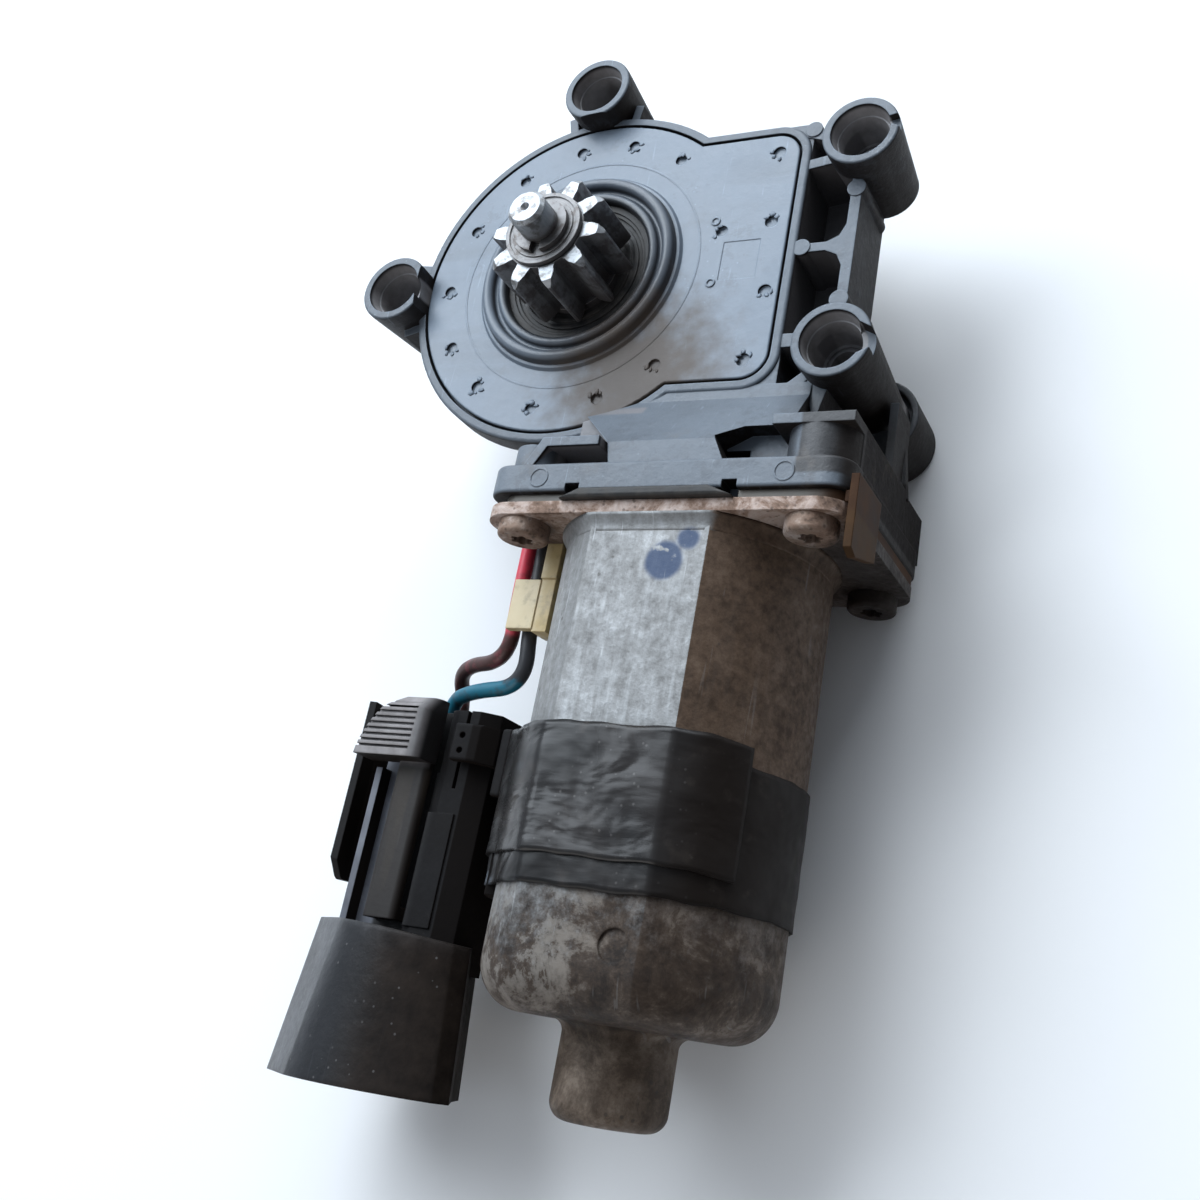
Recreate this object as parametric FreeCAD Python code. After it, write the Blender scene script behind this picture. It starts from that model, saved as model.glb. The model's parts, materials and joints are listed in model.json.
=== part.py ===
import FreeCAD, Part
import math
import os
from FreeCAD import Vector as V

# Window-lift gearmotor.  Millimetres.  +Z runs out along the output pinion, the
# origin is on the output axis in the cover plate's outer face, and the motor runs
# along -Y at the side of the gear chamber.

# ---- driving dimensions ------------------------------------------------------
AX, AZ = 28.0, -9.6          # motor axis: centre distance and depth below the cover
MODULE, WHEEL_TEETH = 0.8, 60
WORM_PITCH_R = 4.0
WHEEL_PITCH_R = MODULE * WHEEL_TEETH / 2
LEAD = math.pi * MODULE
FACE = 8.0                   # face width of the worm wheel
PINION_MODULE, PINION_TEETH = 1.75, 10
PINION_R, PINION_ROOT_R = 11.0, 7.1
PINION_Z = (1.0, 12.3)
AXLE_R, AXLE_TOP = 3.35, 19.1
DISC_R = 30.8                # cover plate's round part
COVER_T = 2.5
HUB_IN = 13.7                # bore of the raised hub
PIT_R, PIT_ANGLES = 26.6, (12, 54, 78, 101, 127, 155, 183, 210, 234, 262, 289, 313)
PIT_POINTS = ((34.2, 20.4), (34.8, 6.4), (35.6, -7.0), (33.8, -19.6))
MARKS = ((24.6, 7.6), (25.6, -4.6))
RECT = (37.9, -22.9, 24.0)   # cover plate's square part: right, lower and upper edge
RIM, SEAM = 2.0, 0.45        # housing lip round the cover and the open seam inside it
CUP_R, CUP_WALL, CUP_FLOOR = 27.8, 2.0, -17.0
BOSS_TOP = 4.1               # mounting plane
BOSSES = {"a": (-2.4, 37.0, -12.0), "b": (-36.0, -2.2, -12.0),
          "c": (49.7, 19.4, -12.4), "d": (49.7, -19.4, -33.0)}
BOSS_R, WELL_R, WELL_IN_R, HOLE_R = 6.5, 5.1, 4.6, 2.6
LEDGE_R, LEDGE_DEEP = 3.9, 8.4       # ledge that the mounting screw's sleeve sits on
COLLAR_Z, COLLAR_R = -21.4, 7.1   # foot of the low boss
PLATE_X = (-1.7, 57.7)       # flange of the motor
PLATE_Z = (AZ - 19.6, AZ + 19.6)
SCREW_DX, SCREW_DZ = 23.6, 15.2
Y_BAR, Y_JOINT, Y_PLATE, Y_UNDER = -41.8, -46.5, -48.2, -50.2
CAN_R, CAN_FLAT, CAN_WALL, CAN_END = 21.1, 18.8, 1.4, -120.0
NOSE_R, NOSE_END = 8.2, -132.6
SHAFT_R = 2.5
FIT = 0.05                   # radial clearance of a running fit
WIRE_R = 1.25


# ---- helpers -----------------------------------------------------------------
def box(x0, x1, y0, y1, z0, z1):
    return Part.makeBox(x1 - x0, y1 - y0, z1 - z0, V(x0, y0, z0))


def rod(r, x, y, z0, z1):
    """Cylinder along Z."""
    return Part.makeCylinder(r, z1 - z0, V(x, y, z0))


def bar(r, y0, y1, x=AX, z=AZ):
    """Cylinder along Y between y0 and y1."""
    return Part.makeCylinder(r, abs(y1 - y0), V(x, min(y0, y1), z), V(0, 1, 0))


def ring(r_in, r_out, y0, y1, x=AX, z=AZ):
    return bar(r_out, y0, y1, x, z).cut(bar(r_in, y0, y1, x, z))


def disc_ring(r_in, r_out, z0, z1, x=0.0, y=0.0):
    return rod(r_out, x, y, z0, z1).cut(rod(r_in, x, y, z0, z1))


def join(shapes):
    out = shapes[0]
    if len(shapes) > 1:
        out = out.fuse(shapes[1:])
    return out.removeSplitter()


def prism(points, axis, a, b):
    """Polygon of (u, v) points extruded from a to b along the named axis."""
    place = {"x": lambda u, v: V(a, u, v), "y": lambda u, v: V(u, a, v),
             "z": lambda u, v: V(u, v, a)}[axis]
    along = {"x": V(1, 0, 0), "y": V(0, 1, 0), "z": V(0, 0, 1)}[axis]
    pts = [place(u, v) for u, v in points]
    face = Part.Face(Part.makePolygon(pts + pts[:1]))
    return face.extrude(along * (b - a))


def plate(x0, x1, z0, z1, y0, y1, r):
    """Rectangular plate standing across Y with rounded corners."""
    body = box(x0, x1, min(y0, y1), max(y0, y1), z0, z1)
    edges = [e for e in body.Edges if abs(e.tangentAt(e.FirstParameter).y) > 0.99]
    return body.makeFillet(r, edges)


def fillet_where(body, r, test):
    edges = [e for e in body.Edges if test(e)]
    return body.makeFillet(r, edges)


def route(points, r):
    """Round tube along straight runs joined by tangent arcs; prints the arc radii."""
    pts = [V(*p) for p in points]
    edges, here = [], pts[0]
    for i in range(1, len(pts) - 1):
        a, b = pts[i - 1] - pts[i], pts[i + 1] - pts[i]
        la, lb = a.Length, b.Length
        a.normalize()
        b.normalize()
        half = (math.pi - a.getAngle(b)) / 2
        cut = 0.45 * min(la, lb)
        radius = cut / math.tan(half)
        p, q = pts[i] + a * cut, pts[i] + b * cut
        axis = (a + b)
        axis.normalize()
        mid = pts[i] + axis * (radius / math.cos(half) - radius)
        edges.append(Part.makeLine(here, p))
        edges.append(Part.Arc(p, mid, q).toShape())
        print("bend", i, "radius %.1f mm, %.1f diameters" % (radius, radius / (2 * r)))
        here = q
    edges.append(Part.makeLine(here, pts[-1]))
    spine = Part.Wire(edges)
    start = Part.Wire(Part.makeCircle(r, pts[0], pts[1] - pts[0]))
    tube = spine.makePipeShell([start], True, False)
    want = math.pi * r * r * spine.Length
    print("tube length %.1f mm, volume ratio %.3f" % (spine.Length, tube.Volume / want))
    return tube


def save(name, shape):
    solids = shape.Solids
    shape = solids[0] if len(solids) == 1 else Part.makeCompound(solids)
    bad = [s for s in solids if not s.isValid()]
    if bad or not solids:
        raise ValueError(name + " is not valid")
    shape.exportStep("parts/" + name + ".step")
    print("%-20s %2d solids %10.1f mm3" % (name, len(solids), shape.Volume))


# ---- gear housing ------------------------------------------------------------
def cover_outline(grow, z0, z1):
    """Round plus square outline of the cover, grown by a margin."""
    right, low, high = RECT
    square = box(6.0, right + grow, low - grow, high + grow, z0, z1)
    square = fillet_where(square, 4.5 + grow, lambda e: abs(e.tangentAt(0).z) > 0.99
                          and e.CenterOfMass.x > right - 1)
    return rod(DISC_R + grow, 0, 0, z0, z1).fuse(square).removeSplitter()


def boss(name):
    """Tall mounting boss that tapers downwards; the low one ends in a collared foot."""
    x, y, foot = BOSSES[name]
    low = COLLAR_Z if name == "d" else foot
    small = 5.0 if name == "d" else 5.5
    body = Part.makeCone(small, BOSS_R, BOSS_TOP - 1.5 - low, V(x, y, low))
    head = rod(BOSS_R, x, y, BOSS_TOP - 1.5, BOSS_TOP)
    head = fillet_where(head, 0.4, lambda e: abs(e.CenterOfMass.z - BOSS_TOP) < 0.01)
    return body.fuse(head)


def boss_hollow(name):
    """Stepped funnel: open mouth, tapering well, and a ringed ledge round the screw hole."""
    x, y, foot = BOSSES[name]
    return join([Part.makeCone(WELL_IN_R, WELL_R, 2.4, V(x, y, BOSS_TOP - 2.39)),
                 Part.makeCone(LEDGE_R, WELL_IN_R - 0.2, LEDGE_DEEP - 2.0, V(x, y, BOSS_TOP - LEDGE_DEEP)),
                 disc_ring(HOLE_R + 0.5, HOLE_R + 0.8, BOSS_TOP - LEDGE_DEEP - 0.3, BOSS_TOP - 5.0, x, y),
                 rod(HOLE_R, x, y, foot - 1, BOSS_TOP)])


def gear_housing():
    cup = rod(CUP_R, 0, 0, CUP_FLOOR - 2.0, 0)
    cup = fillet_where(cup, 3.0, lambda e: e.CenterOfMass.z < CUP_FLOOR - 1.9
                       and isinstance(e.Curve, Part.Circle))
    lip = fillet_where(cover_outline(RIM, -4.2, 0), 0.6, lambda e: abs(e.CenterOfMass.z) < 0.01)
    worm_box = box(14.0, RECT[0] + RIM, -24.7, 25.8, -19.0, -0.5)
    neck = prism([(-24.0, -0.4), (-26.5, 0.0), (-37.4, 7.8), (-42.0, 8.2), (-42.0, -25.0),
                  (-36.0, -25.0), (-24.0, -19.0)], "x", 8.0, 46.0)
    pocket_l = prism([(5.0, -27.0), (8.7, -29.3), (17.3, -37.5), (18.5, -42.1), (5.0, -42.1)],
                     "z", 1.4, 12.0)
    pocket_r = prism([(34.9, -36.7), (38.9, -34.6), (47.0, -34.6), (47.0, -42.1), (37.7, -42.1)],
                     "z", 2.4, 12.0)
    under = box(4.0, 16.0, -36.6, -20.0, -30.0, -14.0).fuse(box(40.0, 50.0, -33.0, -20.0, -30.0, -14.0))
    neck = neck.cut([pocket_l, pocket_r, under])
    frame = plate(*PLATE_X, *PLATE_Z, Y_JOINT, Y_BAR, 4.0)
    frame = fillet_where(frame, 0.5, lambda e: abs(e.CenterOfMass.y - Y_BAR) < 0.01
                         or abs(e.CenterOfMass.y - Y_JOINT) < 0.01)
    side = box(50.0, 57.5, -44.0, -35.0, -17.5, 5.2)
    back_r = box(45.0, 57.5, -36.6, -35.0, -17.5, 9.9)
    back_l = prism([(6.6, -36.9), (16.5, -36.9), (16.5, -38.4), (5.9, -38.4)], "z", -17.5, 9.2)
    side_l = prism([(6.6, -36.9), (8.2, -37.3), (4.9, -43.0), (3.2, -43.0)], "z", -17.5, 9.2)
    post_r = bar(5.7, -35.8, -44.0, AX + SCREW_DX + 0.2, 4.2)
    tongue = box(24.0, 32.0, -42.0, -37.5, -29.0, -24.0)
    posts = []
    for sx in (-1, 1):
        for sz in (-1, 1):
            posts.append(bar(3.9, -38.0, -43.0, AX + sx * SCREW_DX, AZ + sz * SCREW_DZ - 0.4))
    column = box(50.0, 57.0, -43.0, -35.0, -29.0, -17.0)
    column_l = box(0.5, 8.5, -43.0, -36.5, -29.0, -17.0)
    floor = box(39.0, 49.0, -17.0, 17.0, -12.4, -10.9)
    spine = box(47.9, 49.7, -19.0, 19.0, -12.4, -0.3)
    cross = box(39.0, 49.0, -0.1, 1.5, -11.5, -0.3)
    fans = [prism([(44.6, 1.4), (48.0, 1.4), (48.0, 4.8), (46.9, 2.5)], "z", -11.5, -0.3),
            prism([(44.6, 0.0), (48.0, 0.0), (48.0, -3.4), (46.9, -1.1)], "z", -11.5, -0.3)]
    top_rib = prism([(38.0, 23.2), (38.6, 25.2), (47.0, 22.4), (46.4, 20.6)], "z", -11.5, -0.3)
    top_rib2 = prism([(38.5, 16.2), (38.5, 18.0), (45.0, 19.0), (45.3, 17.2)], "z", -11.5, -0.3)
    low_rib = box(39.0, 45.0, -17.6, -15.2, -11.5, -0.3)
    diag = prism([(37.2, -27.6), (38.6, -28.6), (46.4, -22.6), (45.4, -21.2)], "z", -17.5, -0.4)
    wedge = prism([(46.4, -29.6), (47.4, -29.8), (49.0, -23.5), (45.0, -23.5)], "z", -17.5, -0.4)
    link = prism([(40.0, -24.0), (56.0, -24.0), (57.5, -36.0), (38.0, -36.0)], "z", -19.0, -17.5)
    outer = box(55.0, 56.4, -36.0, -22.0, -19.0, -12.0)
    x_d, y_d, foot_d = BOSSES["d"]
    drop = rod(COLLAR_R, x_d, y_d, foot_d, COLLAR_Z).cut(disc_ring(5.1, 5.9, -23.6, COLLAR_Z, x_d, y_d))
    drop = fillet_where(drop, 0.3, lambda e: isinstance(e.Curve, Part.Circle)
                        and abs(e.CenterOfMass.z - COLLAR_Z) < 0.01 and e.Curve.Radius > 5.5)
    gusset = prism([(-19.4, -21.0), (-35.5, -21.0), (-35.5, -28.5), (-26.0, -32.0), (-19.4, -32.0)],
                   "x", 49.0, 50.6)
    ears = []
    for name, ang in (("a", 93.7), ("b", 183.5)):
        x, y, foot = BOSSES[name]
        web = box(24.0, 37.0, -2.2, 2.2, foot, -1.0)
        web.rotate(V(0, 0, 0), V(0, 0, 1), ang)
        ears.append(web)
        for turn in (-11.0, 11.0):
            fin = box(27.0, 36.0, -0.8, 0.8, foot + 3, -0.6)
            fin.rotate(V(0, 0, 0), V(0, 0, 1), ang + turn)
            ears.append(fin)
    knobs = [rod(r, x, y, -11.5, -0.1) for x, y, r in
             ((39.8, 24.4, 1.5), (48.8, 11.4, 1.6), (48.4, -9.6, 1.6), (40.7, 0.8, 1.5))]
    hub = rod(8.6, 0, 0, -21.5, -15.0)
    cover_room = cover_outline(SEAM, -COVER_T, BOSS_TOP + 1)
    around_cover = [s.cut(cover_room) for s in [cup, lip, worm_box, neck, top_rib] + ears
                    + [boss(n) for n in BOSSES]]
    marks = [disc_ring(1.35, 1.6, 9.0, 10.1, x, -44.2) for x in (7.9, 48.0)]
    solid = join(around_cover + marks + [frame, side, back_r, back_l, side_l, post_r, tongue, column,
                                 column_l, floor, spine, cross, top_rib2, low_rib, diag, wedge,
                                 link, outer, drop, gusset, hub] + posts + knobs + fans)
    hollow = [rod(CUP_R - CUP_WALL, 0, 0, CUP_FLOOR, 1).cut(rod(8.6, 0, 0, CUP_FLOOR, -15.0)),
              bar(6.6, -15.5, 14.6), box(AX - 9.0, AX, -14.0, 14.0, AZ - 6.6, AZ + 6.6),
              bar(5.0, 14.0, 20.2), bar(3.4, 20.0, 24.2), bar(3.4, -30.0, -15.0),
              bar(6.0, -37.0, -30.0), bar(16.2, -47.0, -37.0), ring(16.0, 17.5, -46.6, -45.0),
              disc_ring(CUP_R - 1.8, CUP_R - 0.4, -3.15, -2.4).cut(box(14.0, 40.0, -30, 30, -5, 0)),
              rod(AXLE_R, 0, 0, -20.0, -14.0)]
    for name in BOSSES:
        hollow.append(boss_hollow(name))
    for sx in (-1, 1):
        for sz in (-1, 1):
            hollow.append(bar(2.0, -47.0, -38.0, AX + sx * SCREW_DX, AZ + sz * SCREW_DZ))
    notch_c = prism([(52.0, 21.0), (60.0, 17.5), (60.0, 22.5)], "z", BOSS_TOP - 1.4, BOSS_TOP + 1)
    notch_d = prism([(53.7, -16.5), (57.2, -18.5), (57.2, -20.6), (52.7, -22.8)], "z",
                    BOSS_TOP - 2.6, BOSS_TOP + 1)
    notch_b = prism([(-33.0, -2.5), (-28.0, -1.0), (-28.0, -6.0)], "z", BOSS_TOP - 1.6, BOSS_TOP + 1)
    slots = [box(x, x + 2.4, Y_JOINT - 1, Y_JOINT + 1.2, 6.5, 11.0) for x in (12.8, 38.6)]
    return solid.cut(hollow + [notch_b, notch_c, notch_d] + slots)


def hub_profile():
    """Section of the raised hub: two rounded crests with a groove, then a stepped wall."""
    def at(r, z):
        return V(r, 0, z)
    edges = [Part.makeLine(at(HUB_IN, -COVER_T), at(HUB_IN, 0.9)),
             Part.Arc(at(HUB_IN, 0.9), at(14.5, 1.9), at(15.4, 1.0)).toShape(),
             Part.Arc(at(15.4, 1.0), at(15.9, 0.7), at(16.3, 1.1)).toShape(),
             Part.Arc(at(16.3, 1.1), at(17.3, 2.3), at(18.4, 1.3)).toShape(),
             Part.makeLine(at(18.4, 1.3), at(18.6, 0.6)),
             Part.makeLine(at(18.6, 0.6), at(19.1, 0.5)),
             Part.makeLine(at(19.1, 0.5), at(19.6, -0.1)),
             Part.makeLine(at(19.6, -0.1), at(19.6, -COVER_T)),
             Part.makeLine(at(19.6, -COVER_T), at(HUB_IN, -COVER_T))]
    return Part.Face(Part.Wire(edges)).revolve(V(0, 0, 0), V(0, 0, 1), 360)


def cover_plate():
    """Welded-in cover: raised hub, weld pits near the edge, faint rings and a shallow panel."""
    body = cover_outline(0.0, -COVER_T, 0)
    body = fillet_where(body, 0.3, lambda e: abs(e.CenterOfMass.z) < 0.01)
    body = body.cut(rod(19.0, 0, 0, -3, 1)).fuse(hub_profile()).removeSplitter()
    raised = [disc_ring(22.5, 22.8, -0.3, 0.05)]
    raised += [disc_ring(0.55, 0.85, -0.3, 0.18, x, y) for x, y in MARKS]
    body = body.fuse(raised)
    pits = [box(26.8, 33.4, -4.2, 3.2, -0.08, 1)]
    for deg in PIT_ANGLES:
        pits.append(rod(1.05, PIT_R * math.cos(math.radians(deg)), PIT_R * math.sin(math.radians(deg)),
                        -0.5, 1))
    for x, y in PIT_POINTS:
        pits.append(rod(1.15, x, y, -0.5, 1))
    return body.cut(pits)


# ---- gear train --------------------------------------------------------------
def pinion():
    """Ten-tooth spur pinion: involute-like flanks from five radii."""
    pitch_r = PINION_MODULE * PINION_TEETH / 2
    step = 2 * math.pi / PINION_TEETH
    rows = ((PINION_ROOT_R, 0.34), (7.9, 0.27), (pitch_r, 0.24), (9.8, 0.155), (10.6, 0.085),
            (PINION_R, 0.03))
    pts = []
    for k in range(PINION_TEETH):
        mid = 1.82 + k * step
        for r, w in rows:
            pts.append((r * math.cos(mid - w * step), r * math.sin(mid - w * step)))
        for r, w in reversed(rows):
            pts.append((r * math.cos(mid + w * step), r * math.sin(mid + w * step)))
    z0, z1 = PINION_Z
    body = prism(pts, "z", z0, z1)
    cone = Part.makeCone(PINION_R - 1.0, PINION_R + 1.2, 2.2, V(0, 0, z1), V(0, 0, -1))
    crown = cone.fuse(rod(PINION_R + 2, 0, 0, z0 - 1, z1 - 2.0))
    return body.common(crown).cut(rod(AXLE_R + FIT, 0, 0, z0 - 1, z1 + 1))


def hub_seal():
    """Rubber lip seal in the hub, ribbed on its outer face."""
    ribs = [disc_ring(r, r + 0.7, -1.0, 0.1) for r in (9.2, 10.6, 12.0)]
    lip = disc_ring(12.6, HUB_IN, -2.4, 0.4)
    return join([disc_ring(8.0 + FIT, HUB_IN, -1.6, -0.3), lip] + ribs)


def output_axle():
    """Fixed steel pin with a clip groove, a chamfered tip and a centre mark."""
    body = rod(AXLE_R, 0, 0, -20.0, AXLE_TOP - 0.6).fuse(
        Part.makeCone(AXLE_R, AXLE_R - 0.6, 0.6, V(0, 0, AXLE_TOP - 0.6))).removeSplitter()
    mark = Part.makeCone(0.0, 0.8, 0.8, V(0, 0, AXLE_TOP - 0.8))
    return body.cut([mark, disc_ring(AXLE_R - 0.4, AXLE_R + 1, 13.25, 14.25)])


def wheel_section(z, turn):
    step = 2 * math.pi / WHEEL_TEETH
    pts = []
    for k in range(WHEEL_TEETH):
        mid = k * step + turn
        for r, w in ((WHEEL_PITCH_R - 1.05, 0.345), (WHEEL_PITCH_R + 0.7, 0.125)):
            pts.append(V(r * math.cos(mid - w * step), r * math.sin(mid - w * step), z))
        for r, w in ((WHEEL_PITCH_R + 0.7, 0.125), (WHEEL_PITCH_R - 1.05, 0.345)):
            pts.append(V(r * math.cos(mid + w * step), r * math.sin(mid + w * step), z))
    return Part.makePolygon(pts + pts[:1])


def worm_wheel():
    twist = LEAD / (2 * math.pi * WORM_PITCH_R) * FACE / WHEEL_PITCH_R
    z0, z1 = AZ - FACE / 2, AZ + FACE / 2
    teeth = Part.makeLoft([wheel_section(z0, -twist / 2), wheel_section(z1, twist / 2)], True, True)
    hub = rod(7.0, 0, 0, -14.4, z1 - 1.6)
    body = teeth.fuse(hub)
    pocket = disc_ring(9.4, 19.6, z0 + 2.2, z1 + 1)
    webs = []
    for k in range(3):
        web = box(8.0, 20.5, -1.6, 1.6, z0 + 2.0, z1 - 1.8)
        web.rotate(V(0, 0, 0), V(0, 0, 1), 120 * k + 30)
        webs.append(web)
    pocket = pocket.cut(webs)
    return body.cut([pocket, rod(AXLE_R + FIT, 0, 0, -15, 0), rod(9.4, 0, 0, z1 - 1.6, z1 + 1)])


def damper():
    """Rubber cushion with three lobes between the wheel's webs and the driver's fingers."""
    z0 = AZ - FACE / 2 + 2.2
    body = disc_ring(9.7, 19.3, z0, AZ + FACE / 2 - 1.9)
    gaps = []
    for k in range(3):
        web = box(8.0, 20.5, -1.9, 1.9, z0 - 1, 0)
        web.rotate(V(0, 0, 0), V(0, 0, 1), 120 * k + 30)
        gaps.append(web)
        finger = box(8.0, 20.5, -2.3, 2.3, z0 + 1.2, 0)
        finger.rotate(V(0, 0, 0), V(0, 0, 1), 120 * k + 90)
        gaps.append(finger)
    return body.cut(gaps)


def driver():
    """Steel output driver: flange with three fingers and the sleeve that carries the pinion."""
    z1 = AZ + FACE / 2
    flange = rod(19.0, 0, 0, z1 - 1.5, z1 + 0.1)
    sleeve = rod(8.0, 0, 0, z1 - 1.5, PINION_Z[0])
    fingers = []
    for k in range(3):
        finger = box(11.0, 18.4, -2.0, 2.0, z1 - 4.0, z1 - 1.0)
        finger.rotate(V(0, 0, 0), V(0, 0, 1), 120 * k + 90)
        fingers.append(finger)
    return join([flange, sleeve] + fingers).cut(rod(AXLE_R + FIT, 0, 0, -15, 13))


def worm():
    """Single-start right-hand worm, in mesh with the wheel at rest."""
    turns = 10
    length = turns * LEAD
    helix = Part.makeHelix(LEAD, length, WORM_PITCH_R)
    r0, r1 = 2.95, WORM_PITCH_R + 0.75
    w0, w1 = 0.82, 0.22
    pts = [V(r0, 0, -w0), V(r1, 0, -w1), V(r1, 0, w1), V(r0, 0, w0)]
    tooth = Part.makePolygon(pts + pts[:1])
    thread = Part.Wire(helix).makePipeShell([tooth], True, True)
    core = Part.makeCylinder(3.15, length + 2.0, V(0, 0, -1.0))
    body = core.fuse(thread)
    body = body.cut(Part.makeCylinder(SHAFT_R, length + 10, V(0, 0, -5)))
    body.rotate(V(0, 0, 0), V(1, 0, 0), -90)
    body.translate(V(AX, -turns / 2 * LEAD, AZ))
    return body


# ---- motor -------------------------------------------------------------------
def can_section(grow, y0, y1):
    body = bar(CAN_R + grow, y0, y1)
    flat = CAN_FLAT + grow
    return body.common(box(AX - 40, AX + 40, min(y0, y1), max(y0, y1), AZ - flat, AZ + flat))


def pole_can():
    outer = can_section(0, Y_PLATE, CAN_END)
    outer = fillet_where(outer, 6.6, lambda e: abs(e.CenterOfMass.y - CAN_END) < 0.01)
    outer = outer.fuse(bar(NOSE_R, CAN_END + 3, NOSE_END))
    outer = fillet_where(outer.removeSplitter(), 2.6, lambda e: isinstance(e.Curve, Part.Circle)
                         and abs(e.CenterOfMass.y - NOSE_END) < 0.01)
    outer = fillet_where(outer, 1.6, lambda e: isinstance(e.Curve, Part.Circle)
                         and abs(e.CenterOfMass.y - CAN_END) < 0.01 and abs(e.Curve.Radius - NOSE_R) < 0.01)
    inner = can_section(-CAN_WALL, Y_PLATE + 1, CAN_END + CAN_WALL)
    inner = fillet_where(inner, 5.2, lambda e: abs(e.CenterOfMass.y - CAN_END - CAN_WALL) < 0.01)
    dimple = rod(2.2, AX + 6.0, -110.5, AZ + CAN_FLAT - 0.35, AZ + CAN_FLAT + 1)
    return outer.cut([inner, bar(NOSE_R - 1.4, CAN_END + 3, NOSE_END + 1.4), dimple])


def flange_plate():
    body = plate(*PLATE_X, *PLATE_Z, Y_UNDER, Y_PLATE, 5.0)
    holes = [can_section(0.0, Y_UNDER - 1, Y_PLATE + 1), box(-3, 7.2, -51, -47, -8.0, -1.8)]
    for sx in (-1, 1):
        for sz in (-1, 1):
            holes.append(bar(2.6, -51, -47, AX + sx * SCREW_DX, AZ + sz * SCREW_DZ))
    return body.cut(holes)


def flange_screw(x, z):
    """Pan-head screw with a six-lobe recess."""
    head = bar(4.0, Y_UNDER - 2.6, Y_UNDER, x, z)
    head = fillet_where(head, 0.7, lambda e: abs(e.CenterOfMass.y - Y_UNDER + 2.6) < 0.01)
    recess = [bar(1.35, Y_UNDER - 3, Y_UNDER - 1.1, x, z)]
    for k in range(6):
        a = math.radians(60 * k)
        recess.append(bar(0.55, Y_UNDER - 3, Y_UNDER - 1.1, x + 1.3 * math.cos(a),
                          z + 1.3 * math.sin(a)))
    return head.fuse(bar(1.95, Y_UNDER, -39.0, x, z)).cut(recess)


def magnet(side):
    wedge = prism([(AX, AZ), (AX + side * 30, AZ + 27), (AX + side * 30, AZ - 27)], "y", -110.0, -70.0)
    return ring(15.2, CAN_R - CAN_WALL, -110.0, -70.0).common(wedge)


def brush_holder():
    """Moulded end plate: flange between housing and can, ring for the brushes, side tab, wire post."""
    flange = plate(0.4, 57.5, -28.6, 8.8, Y_PLATE, Y_JOINT, 4.0)
    neck = ring(13.5, 16.0, Y_JOINT, -40.0)
    tube = can_section(-CAN_WALL - 0.1, Y_PLATE, -56.0)
    deck = tube.cut(bar(13.5, -48.5, -57.0))
    web = ring(8.2, 14.5, -54.0, -52.0)
    tab = box(56.8, 58.8, Y_PLATE, Y_JOINT, 0.6, 8.0).fuse(
        prism([(-44.5, -1.5), (-53.8, -1.3), (-56.2, 6.9), (-55.5, 9.2), (-44.5, 9.2)], "x", 57.8, 59.0))
    post = box(4.2, 6.8, -64.8, Y_PLATE, -6.2, -2.4)
    collar = box(4.2, 7.0, -56.0, Y_PLATE, -7.2, -2.0)
    body = join([flange, neck, deck, web, tab, post, collar])
    holes = [bar(13.5, -47.5, -39.0), bar(13.5, -52.0, -46.0),
             box(12.6, 41.0, Y_PLATE - 1, Y_JOINT + 1, 6.2, 12.0)]
    for sx in (-1, 1):
        for sz in (-1, 1):
            holes.append(bar(2.6, -51, -44, AX + sx * SCREW_DX, AZ + sz * SCREW_DZ))
        holes.append(box(AX + sx * 11.9 - 4.5, AX + sx * 11.9 + 4.5, -57.4, -51.5, AZ - 3.6, AZ + 3.6))
    return body.cut(holes)


def flange_gasket():
    """Rubber seal: the bulging front strip and the ring round the brush-holder neck."""
    low, top = Y_PLATE + 0.05, Y_JOINT - 0.05
    strip = prism([(12.7, low), (16.0, top), (37.0, top), (40.9, low)], "z", 6.4, 11.3)
    strip = fillet_where(strip, 0.5, lambda e: abs(e.CenterOfMass.z - 11.3) < 0.01)
    seal = ring(16.1, 17.4, Y_JOINT + 0.1, Y_JOINT + 1.4)
    return Part.makeCompound([strip, seal])


def commutator():
    """Moulded barrel with eight copper bars and their risers."""
    body = ring(SHAFT_R, 7.4, -66.0, -50.5)
    body = body.fuse(ring(SHAFT_R, 8.8, -68.5, -66.0)).removeSplitter()
    cuts = []
    for k in range(8):
        slit = box(AX + 5.9, AX + 9.5, -69, -50, AZ - 0.25, AZ + 0.25)
        slit.rotate(V(AX, 0, AZ), V(0, 1, 0), 45 * k)
        cuts.append(slit)
    return body.cut(cuts)


def armature_core():
    """Laminated stack with eight slots."""
    body = ring(SHAFT_R, 14.6, -107.0, -73.0)
    cuts = []
    for k in range(8):
        slot = box(AX + 6.2, AX + 13.2, -108, -72, AZ - 2.1, AZ + 2.1)
        mouth = box(AX + 12.0, AX + 16.0, -108, -72, AZ - 0.8, AZ + 0.8)
        cut = slot.fuse(mouth)
        cut.rotate(V(AX, 0, AZ), V(0, 1, 0), 45 * k + 22.5)
        cuts.append(cut)
    return body.cut(cuts)


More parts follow.
